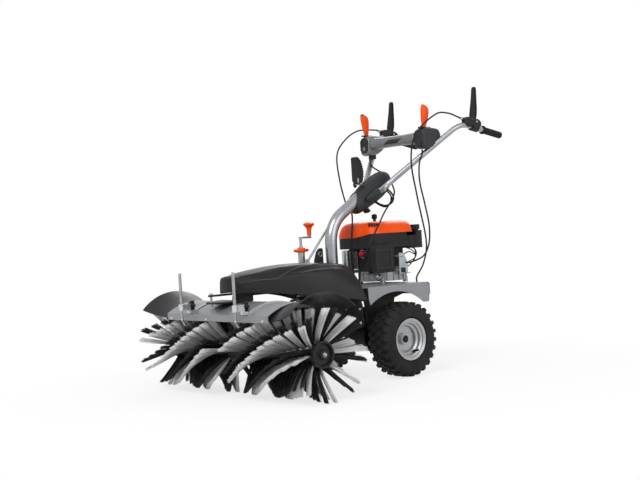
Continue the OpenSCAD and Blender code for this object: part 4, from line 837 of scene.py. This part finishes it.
# Wheels: lugged tyres, hub caps and valves
AXLE_Y, TYRE_R, RIM_R, WHEEL_X, LUGS = back(636), 157.5, 79.0, 244.0, 26
TREAD_SKEW, CAP_OUT, VALVE_OUT, VALVE_R, VALVE_TURN = 7.0, 17.5, 33, 62, radians(-58)
# Half of the carcass, outside and inside, as (radius, half width)
CARCASS = [(RIM_R, 33), (RIM_R, 43), (RIM_R + 10, 44), (RIM_R + 16, 54), (RIM_R + 38, 56),
           (TYRE_R - 30, 54.5), (TYRE_R - 18, 50), (TYRE_R - 11, 42), (TYRE_R - 8.5, 30)]
LINER = [(RIM_R + 13, 44), (TYRE_R - 30, 43), (TYRE_R - 16, 26)]
# Hub cap and valve as (radius, height)
HUB_CAP = [(15, 0), (15, 1.0), (9, 1.4), (9, 4.5), (8, 5.2), (0, 5.2)]
VALVE = [(7, -4), (7, 0), (4.5, 3), (4.2, 15), (5, 16), (5, 24), (3.5, 26)]
# Shoulder and middle lugs: depth below the tread and place across at the foot and at the top, and half width
SHOULDER = ((10, 27, 1.5, 27, 9.5), (14, 40, 2.5, 46, 9.5), (30, 52, 26, 55.6, 8.5))
MIDDLE = ((10, 3, 0.6, 3, 8.0), (10, 12, 0.6, 12, 9.0), (10, 22, 1.0, 22, 8.0))


def make_wheel(side, node, body):
    """A tyre with two rows of middle lugs and notched shoulders, a hub cap and a valve."""
    form = Form()
    hub, out = Vector((side * WHEEL_X, AXLE_Y, TYRE_R)), Vector((side, 0, 0))
    rows = CARCASS + [(TYRE_R - 8, 0)] + [(r, -h) for r, h in reversed(CARCASS)]
    rows += [(r, -h) for r, h in LINER] + LINER[::-1]
    form.hoop(hub, X, rows, 72)

    def lug(turn, way, blocks):
        """A block over these rows, from its foot inside the carcass to its top."""
        rings = []
        for i, (foot, foot_x, top, top_x, w) in enumerate(blocks):
            ring = []
            corners = ((foot, foot_x, -w), (top, top_x, -w * 0.8), (top, top_x, w * 0.8), (foot, foot_x, w))
            for depth, h, k in corners:
                q = turn + (k + TREAD_SKEW * i / 2) / TYRE_R
                r = TYRE_R - depth
                ring.append((hub.x + way * h, AXLE_Y + r * cos(q), TYRE_R + r * sin(q)))
            rings.append(ring)
        form.loft(rings)

    for k in range(2 * LUGS):
        for way in (-1, 1):
            blocks = SHOULDER if (k % 2 == 1) == (way > 0) else MIDDLE
            lug(pi * k / LUGS, way, blocks)
    crisp(dress(node + "_lugged", form, tyre_rubber, node), 38)
    trim(node + "_hub_cap", Form().turned(hub + out * CAP_OUT, out, HUB_CAP), black_plastic, body)
    spoke = Vector((0, cos(VALVE_TURN), sin(VALVE_TURN)))
    valve = Form().turned(hub + out * VALVE_OUT + spoke * VALVE_R, out - spoke * 0.25, VALVE, 16)
    trim(node + "_valve", valve, rubber, body)


# Bonnet: the source's sections on smooth curves, with a sunk top panel between moulded steps
# Behind the brush, half widths at shoulder and top, heights of edge, shoulder and top, flare of the edge
BONNET = ((-76, 48, 40, 405, 446, 462, 0), (-68, 54, 46, 402, 452, 470, 0), (0, 76, 64, 400, 458, 483, 0),
          (120, 92, 70, 389, 460, 497, 2), (230, 112, 84, 375, 466, 503, 6),
          (320, 134, 98, 360, 470, 502, 20), (390, 150, 112, 346, 468, 495, 44),
          (452, 160, 124, 334, 458, 484, 75))
BONNET_FRONT, BONNET_BACK, BONNET_MID = -76, 452, Vector((0, 436))
# Where the step runs: behind the brush, and its place along the section counted in the section's points
STEP_LINE = ((-76, 1.85), (106, 1.8), (124, 2.1), (142, 2.8), (164, 3.35), (210, 3.8), (296, 4.25),
             (380, 4.5), (452, 4.6))
STEP_H, STEP_W, STEP_FROM, STEP_FADE = 2.8, 1.3, -72, 24
SHELL_T, NOSE_END, JACK_HOLE_R = 3.2, -70, 18.0
# Side and run of each lip on the step, in a lighter gloss that is a painted highlight, the right one parted
# where the jack tube passes
LIPS = ((1, -56, 445), (-1, -56, 362), (-1, 427, 445))
SECTION_STEPS, CURVE_STEPS = 24, 8


def bonnet_row(b):
    """The section's sizes at b behind the brush."""
    i = max(j for j in range(len(BONNET) - 1) if BONNET[j][0] <= b)
    p, q = BONNET[i], BONNET[i + 1]
    span = q[0] - p[0]
    t = (b - p[0]) / span
    if i == 0:
        return [u + (v - u) * t for u, v in zip(p[1:], q[1:])]
    before = BONNET[i - 1] if i > 1 else p
    after = BONNET[min(i + 2, len(BONNET) - 1)]
    out = []
    for k in range(1, len(p)):
        m1 = (q[k] - before[k]) / (q[0] - before[0]) * span
        m2 = (after[k] - p[k]) / (after[0] - p[0]) * span
        out.append(p[k] * (2 * t ** 3 - 3 * t * t + 1) + m1 * (t ** 3 - 2 * t * t + t)
                   + q[k] * (3 * t * t - 2 * t ** 3) + m2 * (t ** 3 - t * t))
    return out


def between(rows, b):
    """A value on straight runs through (place, value) rows."""
    for (b1, v1), (b2, v2) in zip(rows, rows[1:]):
        if b <= b2:
            return v1 + (v2 - v1) * max(0.0, b - b1) / (b2 - b1)
    return rows[-1][1]


def bonnet_half(b):
    """The left half's outline at b, from its lower edge to the ridge, as rows of place, normal and rise."""
    w, v, edge, shoulder, top, flare = bonnet_row(b)
    corners = [Vector(q) for q in ((w + flare, edge), (w + flare * 0.62 - 0.5, (edge + shoulder) / 2 - 3),
                                   (w - 2, shoulder - 6), (v + (w - v) * 0.6, shoulder + 2),
                                   (v, (shoulder + top) / 2 + 3), (v * 0.78, top - 3), (v * 0.4, top),
                                   (0, top + 0.5))]
    line = [spline(corners, i, k / CURVE_STEPS) for i in range(len(corners) - 1) for k in range(CURVE_STEPS)]
    line.append(corners[-1])
    run_to = [0.0]
    for p, q in zip(line, line[1:]):
        run_to.append(run_to[-1] + (q - p).length)

    def at(s):
        """The place and normal at a length s along the outline."""
        i = min(max(j for j in range(len(line)) if run_to[j] <= s), len(line) - 2)
        t = (s - run_to[i]) / (run_to[i + 1] - run_to[i])
        along = (line[min(i + 2, len(line) - 1)] - line[max(i - 1, 0)]).normalized()
        return line[i].lerp(line[i + 1], t), Vector((along.y, -along.x))

    k = between(STEP_LINE, b) * CURVE_STEPS
    i = int(k)
    step = run_to[i] + (run_to[i + 1] - run_to[i]) * (k - i)
    rise = min(1.0, max(0.0, (b - STEP_FROM) / STEP_FADE)) * STEP_H
    shares = [j / (SECTION_STEPS - 1) for j in range(SECTION_STEPS)]
    half = [at((step - STEP_W) * f) + (rise,) for f in shares]
    return half + [at(step + STEP_W + (run_to[-1] - step - STEP_W) * f) + (-rise,) for f in shares]


def make_bonnet():
    """The shell, open below and behind, with a hole for the jack tube, and the lips of its steps in a lighter
    gloss as a painted highlight.
    """
    nose = [(BONNET_FRONT, 0.93), (-75.2, 0.965), (-73.4, 0.988), (-70.5, 1.0)]
    places = nose + [(b, 1.0) for b in range(-66, 450, 6)] + [(BONNET_BACK, 1.0)]
    outer, inner = [], []
    for b, k in places:
        half = bonnet_half(b)
        for rows, thick in ((outer, 0.0), (inner, SHELL_T)):
            left = []
            for place, normal, rise in half:
                q = BONNET_MID + (place - BONNET_MID) * k + normal * (rise - thick)
                left.append((max(q.x, 0.0), q.y))
            y = back(b + (thick if b < NOSE_END else 0.0))
            rows.append([(x, y, z) for x, z in left] + [(-x, y, z) for x, z in reversed(left[:-1])])
    n, m = len(outer[0]), len(outer)
    deep, last = n * m, (m - 1) * n
    form = Form()
    form.points = [q for row in outer + inner for q in row]
    for i in range(m - 1):
        for j in range(n - 1):
            a = i * n + j
            form.faces.append((a, a + 1, a + n + 1, a + n))
            form.faces.append((deep + a, deep + a + n, deep + a + n + 1, deep + a + 1))
        for a in (i * n, i * n + n - 1):
            form.faces.append((a, a + n, deep + a + n, deep + a))
    for a in range(last, last + n - 1):
        form.faces.append((a, a + 1, deep + a + 1, deep + a))
    form.faces += [tuple(range(n)), tuple(deep + j for j in range(n)), (0, n - 1, deep + n - 1, deep)]
    shell = dress("bonnet_shell", form, bonnet_black, "bonnet")
    cut_hole(shell, (JACK_X, JACK_Y, 440), Z, JACK_HOLE_R, 90)
    crisp(shell, 32)
    form = Form()
    for side, start, stop in LIPS:
        line = []
        for b in range(start, stop, 7):
            place, normal, rise = bonnet_half(b)[SECTION_STEPS - 1]
            q = place + normal * rise
            line.append((side * q.x, back(b), q.y))
        form.pipe(line, 1.5, 8)
    # The lips' lighter grey is a painted highlight along the steps
    trim("bonnet_lips", form, highlight_bead_gloss)


def make_bonnet_trim():
    """The cable guide behind the ridge, the jack tube's grommet, and the splash guards' bolts and lips."""
    form = Form()
    fin = [(400, 486), (446, 478), (446, 550), (440, 555), (434, 556), (424, 551), (414, 540), (402, 508)]
    form.plate([(back(b), z) for b, z in fin], -24, -12)
    round_edges(trim("cable_guide", form, black_plastic), 1.5)
    form = Form().hoop((-11, back(430), 530), (-1, 0, 0), [(8, 0), (10.5, 0.2), (10.5, 13.8), (8, 14)], 24)
    trim("guide_eyelet", form, zinc)
    form = Form().hoop((JACK_X, JACK_Y, 481), Z, [(15.8, 0), (24, 3), (24, 11), (21, 13), (15.8, 13.4)], 32)
    trim("jack_grommet", form, rubber)
    bolts, lips = Form(), Form()
    lip = [(204, 312), (231, 306), (232, 330), (222, 336.5), (204, 337)]
    for side in (1, -1):
        for x, z in ((218, 300), (218, 244), (132, 300)):
            bolts.hex_bolt((side * x, back(428), z), (0, -1, 0), 5)
        lips.loft([[(side * x, back(b), z) for x, z in lip] for b in (425.8, 427.8)])
    trim("guard_bolts", bolts, zinc)
    round_edges(trim("guard_lips", lips, rubber), 0.8)


def make_deck_bend():
    """The rounded bend between the deck's top and its rear panel."""
    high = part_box("deck")[1]
    rear, top, half = high.y / MM, high.z / MM, high.x / MM - 0.4
    bend = [(16, 3.9), (16, -0.1), (9, 0.5), (3.6, 3.4), (0.7, 8), (-0.1, 14), (3.9, 14), (5, 8), (9, 4.5)]
    form = Form().plate([(rear - a, top - b) for a, b in bend], -half, half)
    crisp(trim("deck_bend", form, silver_paint), 40)


# Engine: places counted from the crankshaft's line


def engine(x, y, z):
    """A place y behind the crankshaft."""
    return (x, ENGINE_Y + y, z)


FILTER_X, FILTER_Y = 158.0, -202
# Turns of the vents, the middle and radius of their arc, and the cowl's slope there as (sine, cosine)
VENTS, VENT_MID, VENT_R = (-70, -53, -36, -19), (73.3, -108.3, COWL_TOP - 14), 40.5
VENT_SLOPE = (0.62, 0.78)
# Ribs round the sump, with a rib's section as (radius, side)
SUMP_RIBS, RIB = 22, ((98, -3), (108, -2.4), (108, 2.4), (98, 3))


def make_engine_covers():
    """Smooth cowl and tank, vents, cowl knob, bare panel of the filter box and dark shrouds."""
    refine("engine_cowl", 50.0)
    refine("fuel_tank", 35.0, 4.0)
    form = Form()
    low, high = VENT_SLOPE
    for turn in VENTS:
        q = radians(turn)
        out = Vector((cos(q), sin(q), 0))
        seat = Vector(engine(*VENT_MID)) + out * VENT_R
        up = Vector((-low * out.x, -low * out.y, high))
        push = Vector((high * out.x, high * out.y, low))
        form.loft([oval(seat + push * h, (-out.y, out.x, 0), up, 4.2, 8.5, 12, 3.5) for h in (-3.0, 1.0)])
    trim("cowl_vents", form, black_plastic)
    form = Form()
    knob = [(8, 0.4), (8, 4), (6, 6), (6, 10), (10, 12), (12, 15), (12.4, 22), (11.5, 29), (8, 32.5),
            (3, 33.5)]
    form.turned(engine(0, -30, COWL_TOP), Z, knob, 24)
    dress("cowl_knob_turned", form, black_plastic, "cowl_knob")
    form = Form()
    # Bars round the filter box's bare panel and across it: y and z from and to, and how far they stand out
    bars = ((16, 24, 452, 536, 2.2), (104, 112, 452, 536, 2.2), (22, 106, 452, 460, 2.2),
            (22, 106, 528, 536, 2.2), (40, 88, 488, 492, 1.2))
    for y1, y2, z1, z2, proud in bars:
        form.box(engine(FILTER_X - 1, FILTER_Y + y1, z1), engine(FILTER_X + proud, FILTER_Y + y2, z2))
    round_edges(trim("filter_panel", form, gloss_black), 0.8)
    form = Form()
    form.box(engine(88.2, -108, 455), engine(93, 44, 543))
    form.box(engine(-84, -117, 440), engine(84, -112.2, 543))
    form.box(engine(-93, -108, 455), engine(-88.2, 44, 543))
    round_edges(trim("block_shrouds", form, black_paint), 2.0)


def make_engine_trim():
    """Sump ribs, bolts, drain plug, governor stop and wires."""
    form = Form()
    foot = Vector(engine(0, 0, 0))
    for k in range(SUMP_RIBS):
        q = 2 * pi * k / SUMP_RIBS
        out, side = Vector((cos(q), sin(q), 0)), Vector((-sin(q), cos(q), 0))
        form.loft([[foot + out * r + side * w + Vector((0, 0, z)) for r, w in RIB] for z in (398, 433)])
    round_edges(trim("sump_ribs", form, casting), 1.2)
    form = Form()
    for x, y, z, axis in ((88.2, -88, 446, X), (88.2, -34, 446, X), (88.2, 22, 446, X),
                          (-60, -112.2, 446, (0, -1, 0)), (60, -112.2, 446, (0, -1, 0)),
                          (132, -6, 452, X), (132, -6, 500, X)):
        form.hex_bolt(engine(x, y, z), axis, 5)
    trim("engine_bolts", form, zinc)
    form = Form()
    form.turned(engine(60.8, -81.9, 412), (0.596, -0.803, 0),
                [(14, -4), (14, 6), (11, 7), (11, 18), (9, 20), (4, 20.4)], 24)
    trim("drain_plug", form, zinc)
    form = Form().box(engine(131.5, -13, 429), engine(137, 11, 449))
    round_edges(trim("governor_stop", form, black_plastic), 2.0)
    form = Form()
    for route in (((100, 20, 543), (136, 56, 522), (142, 66, 490), (131, 24, 470)),
                  ((104, 34, 543), (136, 74, 526), (124, 84, 486), (70, 64, 433)),
                  ((131, 8, 508), (134, 40, 516), (128, 84, 504), (110, 96, 534))):
        form.tube([engine(*q) for q in route], 2.4, 8, 8)
    trim("engine_wires", form, rubber)


def make_jack_collar():
    """Orange winged collar at the top of the jack tube."""
    z = 542.0
    form = Form()
    form.turned((JACK_X, JACK_Y, z - 1), Z, [(18.6, 0), (20, 1.5), (20, 14), (17, 19), (11, 20.5)])
    wing = ((14, 9, 5.5), (24, 8, 5.5), (32, 7.5, 6.5), (37, 6, 5.5), (39, 3, 3))
    for way in (-1, 1):
        form.loft([oval((JACK_X, JACK_Y + way * h, z + 8), X, Z, w, t, 12, 2.6) for h, w, t in wing])
    crisp(trim("jack_collar", form, orange), 45)


# Levers
# Bracket housing, counted from the lever's pin: along y, up, half width and half height
BRACKET = ((-69, 2, 10, 12), (-66, 1, 14, 17), (-56, 0, 16.5, 22), (-26, -2, 17, 25), (-17, -3, 16, 23),
           (-13, -3, 13, 18))
# Its cheeks: along y and half height
CHEEK = ((-22, 22), (9, 22), (22, 17), (29, 9))
# Cable adjuster as (radius, height)
ADJUSTER = [(7.6, 0), (7.6, 5), (5, 5.5), (5, 9), (6.4, 9.4), (6.4, 14), (4.6, 16.5), (4.4, 30)]
# Clutch lever's outline from its pin, along y and up
CLUTCH_LEVER = [(-21, 12), (9, 16), (14, 42), (14, 66), (12, 100), (9.5, 148), (5, 157), (-5, 157),
                (-9.5, 148), (-13.5, 105), (-20, 60), (-24.5, 30)]
CLUTCH_LEAN = radians(4)
# Height, place along y, half depth and half width
STICK = ((-9, 0, 4, 3.6), (0, 0, 9.5, 3.9), (12, 0, 7, 3.9), (20, -1, 12, 6), (36, 0.5, 15.5, 9),
         (56, 2.5, 18.5, 11), (78, 4.5, 21, 12), (94, 3.5, 20, 11.5), (104, 0, 16, 9.5), (110, -4, 10, 6.5),
         (113, -7, 4, 3))
STICK_Y, STICK_Z = CONSOLE_Y + 34, POD_TOP - 14


def make_lever_trim():
    """Bolts, cable adjusters and housings of the clutch brackets."""
    bolts, housings = Form(), Form()
    for side in (1, -1):
        x, y, z = side * CLUTCH_X, CLUTCH_Y, CLUTCH_Z
        foot = Vector((x, y, z))
        for way in (1, -1):
            bolts.hex_bolt(foot + Vector((way * 15.2, 0, 0)), (way, 0, 0), 5.5)
        for dy, dz in ((-30, 8), (4, -18)):
            bolts.hex_bolt(foot + Vector((13.2 * side, dy, dz)), (side, 0, 0), 3.6)
        bolts.turned(foot + Vector((0, -62, 10.0)), (0, -1, 0.18), ADJUSTER, 16)
        housings.loft([oval((x, y + a, z + b), X, (0, 0.1, 1), w, h, 16, 4.0) for a, b, w, h in BRACKET])
        for way in (-1, 1):
            housings.loft([oval((x + way * 12.5, y + a, z - 9), X, Z, 5, h, 12, 4.0) for a, h in CHEEK])
    trim("bracket_bolts", bolts, zinc, "handlebar")
    crisp(trim("bracket_housings", housings, black_plastic, "handlebar"), 40)


def rimmed(form, outline, inset, half, web):
    """A plate with a raised rim: a band along the outline, and a thinner web inside it."""
    n = len(outline)
    middle = Vector([sum(q[i] for q in outline) / n for i in (0, 1)])
    inner = []
    for i, place in enumerate(outline):
        ahead = (Vector(outline[(i + 1) % n]) - Vector(outline[i - 1])).normalized()
        side = Vector((-ahead.y, ahead.x))
        if side.dot(middle - Vector(place)) < 0:
            side = -side
        inner.append(tuple(Vector(place) + side * inset))
    base = len(form.points)
    for (y, z), (v, w) in zip(outline, inner):
        form.points.extend([(-half, y, z), (half, y, z), (half, v, w), (-half, v, w)])
    form.wrap(base, 4, n)
    form.plate(inner, -web / 2, web / 2)


def leaning(x, y, z, turn):
    """A function that leans a point by a turn about x and puts it at a place."""
    c, s = cos(turn), sin(turn)
    return lambda a, b, h: (x + a, y + b * c + h * s, z + h * c - b * s)


def make_clutch_levers():
    """Both clutch levers, with a rim round their sunk sides and a boss on the pin."""
    form = Form()
    rimmed(form, CLUTCH_LEVER, 4.5, 6.5, 7.0)
    form.plate([(-9, 0), (9, 0), (11, 24), (-11, 24)], -4, 4)
    form.turned((-4, 0, 0), X, [(8, 0), (9, 0.6), (9, 7.4), (8, 8)], 24)
    lever = form.moved(leaning(CLUTCH_X, CLUTCH_Y, CLUTCH_Z, CLUTCH_LEAN))
    for side, node in ((1, "clutch_lever_left"), (-1, "clutch_lever_right")):
        round_edges(dress(node + "_rimmed", lever.mirrored(side), black_plastic, node), 1.2, 30)


def make_orange_levers():
    """The thick orange levers of the console, one with a dark tip."""
    form = Form()
    form.loft([oval((0, mid, h), X, Y, w, d, 16, 2.6) for h, mid, d, w in STICK])
    for side, node, turn in ((1, "control_lever_left", 4), (-1, "control_lever_right", -10)):
        lean = radians(turn)
        place = leaning(side * STICK_X, STICK_Y, STICK_Z, lean)
        crisp(dress(node + "_grip", form.moved(place), orange, node), 60)
    foot = Vector(place(0, -5, 110)) - Vector((0, 0, 2))
    form = Form()
    form.turned(foot, (0, sin(lean), cos(lean)), [(8.5, 0), (9, 2), (7, 5.5), (2.5, 6.5)], 20)
    trim("lever_tip", form, black_plastic, "stick_right")


def make_brush_hubs():
    """Dished black hubs with a bright bolt at the brush ends."""
    end = GEARBOX_HALF + HALF_LEN
    dish = [(41, 0), (40, 1.5), (30, 3.5), (27, 2.5), (20, 2.5), (18, 5), (16, 13.5), (13, 14.8), (6, 15)]
    hubs, bolts = Form(), Form()
    for way in (1, -1):
        hubs.turned((way * (end - 8), BRUSH_Y, BRUSH_Z), (way, 0, 0), dish, 40)
        bolts.hex_bolt((way * (end + 10), BRUSH_Y, BRUSH_Z), (way, 0, 0), 7)
    crisp(trim("brush_hubs", hubs, black_plastic, "brush"), 30)
    trim("brush_hub_bolts", bolts, zinc, "brush")


ROD_X, KNOB_R, KNOB_LOBE, KNOB_LOBES, KNOB_SIDES = 180, 16.5, 3.6, 5, 60


def make_star_knobs():
    """Lobed knobs of the accessory clamps, each with a bright screw end."""
    turns = [2 * pi * i / KNOB_SIDES for i in range(KNOB_SIDES)]
    star = [(r * cos(q), r * sin(q)) for q, r in
            ((q, KNOB_R + KNOB_LOBE * cos(KNOB_LOBES * q)) for q in turns)]
    for side, node, body in ((1, "star_knob_left", "star_left"), (-1, "star_knob_right", "star_right")):
        box = [Vector(c) for c in nodes[node].bound_box]
        x, y, z = side * ROD_X, max(c.y for c in box) / MM - 14, sum(c.z for c in box) / len(box) / MM
        form = Form()
        form.loft([[(x + k * a, y + h, z + k * b) for a, b in star] for h, k in
                   ((0.5, 0.84), (2.5, 0.96), (5, 1.0), (13, 1.0), (16, 0.95), (18, 0.8), (18.6, 0.5))])
        form.turned((x, y - 12, z), Y, [(4, 0), (4, 14)], 16)
        crisp(dress(node + "_lobed", form, rubber, node), 50)
        form = Form().turned((x, y + 18, z), Y, [(5, 0), (5, 1.6), (4, 2.2)], 18)
        trim(node + "_screw", form, zinc, body)


# Stage: a white floor that keeps the shadow near the object, and soft studio light
FLOOR_HALF, SHADOW_NEAR, SHADOW_FAR, SHADOW_WHITE = 20000, 0.75, 1.5, 0.76
# Name, place and power
LAMPS = (("key", (1.2, -3.0, 3.4), 110.0), ("fill", (3.6, 0.2, 1.8), 40.0), ("rear", (-1.8, 2.6, 3.0), 60.0))
LAMP_SIZE, LAMP_AIM = 2.4, Vector((0, 0, 0.5))


def seen_directly(tree):
    """1 for the rays that see the background as such, from the camera, a reflection or through glass."""
    path = tree.nodes.new("ShaderNodeLightPath")
    direct = path.outputs["Is Camera Ray"]
    for name in ("Is Glossy Ray", "Is Transmission Ray"):
        either = tree.nodes.new("ShaderNodeMath")
        either.operation = "MAXIMUM"
        tree.links.new(direct, either.inputs[0])
        tree.links.new(path.outputs[name], either.inputs[1])
        direct = either.outputs[0]
    return direct


def blend_shaders(tree, factor, first, second, output):
    """Shows the second shader where the factor is 1, and the first elsewhere."""
    mix = tree.nodes.new("ShaderNodeMixShader")
    for socket, source in zip(mix.inputs, (factor, first.outputs[0], second.outputs[0])):
        tree.links.new(source, socket)
    tree.links.new(mix.outputs[0], tree.nodes[output].inputs["Surface"])


def make_floor():
    """A pale floor that turns white away from the object."""
    s = Shader("floor")
    tone = s.mix(s.ramp(s.noise(3.0), 0.3, 0.7), grey(0.9), grey(0.92))
    s.set(s.bsdf, Base_Color=tone, Roughness=0.9, Specular_IOR_Level=0.0)
    length = s.add("ShaderNodeVectorMath", operation="LENGTH")
    s.feed(length.inputs[0], s.place)
    white = s.span(s.ramp(length.outputs["Value"], SHADOW_NEAR, SHADOW_FAR), SHADOW_WHITE, 1.0)
    factor = s.math("MULTIPLY", seen_directly(s.tree), white)
    blend_shaders(s.tree, factor, s.bsdf, s.add("ShaderNodeEmission"), "Material Output")
    form = Form()
    form.points = [(a * FLOOR_HALF, b * FLOOR_HALF, 0) for a, b in ((-1, -1), (1, -1), (1, 1), (-1, 1))]
    form.faces = [(0, 1, 2, 3)]
    mesh_piece("floor", form, s.material)


def make_light():
    """A dim sky that looks white, and three large lamps."""
    world = bpy.data.worlds.new("studio")
    bpy.context.scene.world = world
    world.use_nodes = True
    tree = world.node_tree
    sky, plain = tree.nodes["Background"], tree.nodes.new("ShaderNodeBackground")
    sky.inputs["Color"].default_value = (0.95, 0.97, 1.0, 1.0)
    sky.inputs["Strength"].default_value = 0.38
    plain.inputs["Color"].default_value = (1.0, 1.0, 1.0, 1.0)
    blend_shaders(tree, seen_directly(tree), sky, plain, "World Output")
    for name, place, power in LAMPS:
        data = bpy.data.lights.new(name, "AREA")
        data.energy = power
        data.size = LAMP_SIZE
        lamp = bpy.data.objects.new(name, data)
        lamp.location = place
        lamp.rotation_euler = (LAMP_AIM - Vector(place)).to_track_quat("-Z", "Y").to_euler()
        bpy.context.scene.collection.objects.link(lamp)


make_cover()
make_lock_lever()
make_handles()
make_console()
make_console_trim()
make_wheel(1, "tyre_left", "wheel_left")
make_wheel(-1, "tyre_right", "wheel_right")
make_bonnet()
make_bonnet_trim()
make_deck_bend()
make_engine_covers()
make_engine_trim()
make_jack_collar()
make_lever_trim()
make_clutch_levers()
make_orange_levers()
make_brush_hubs()
make_star_knobs()
make_floor()
make_light()
bpy.context.scene.view_settings.view_transform = "Standard"
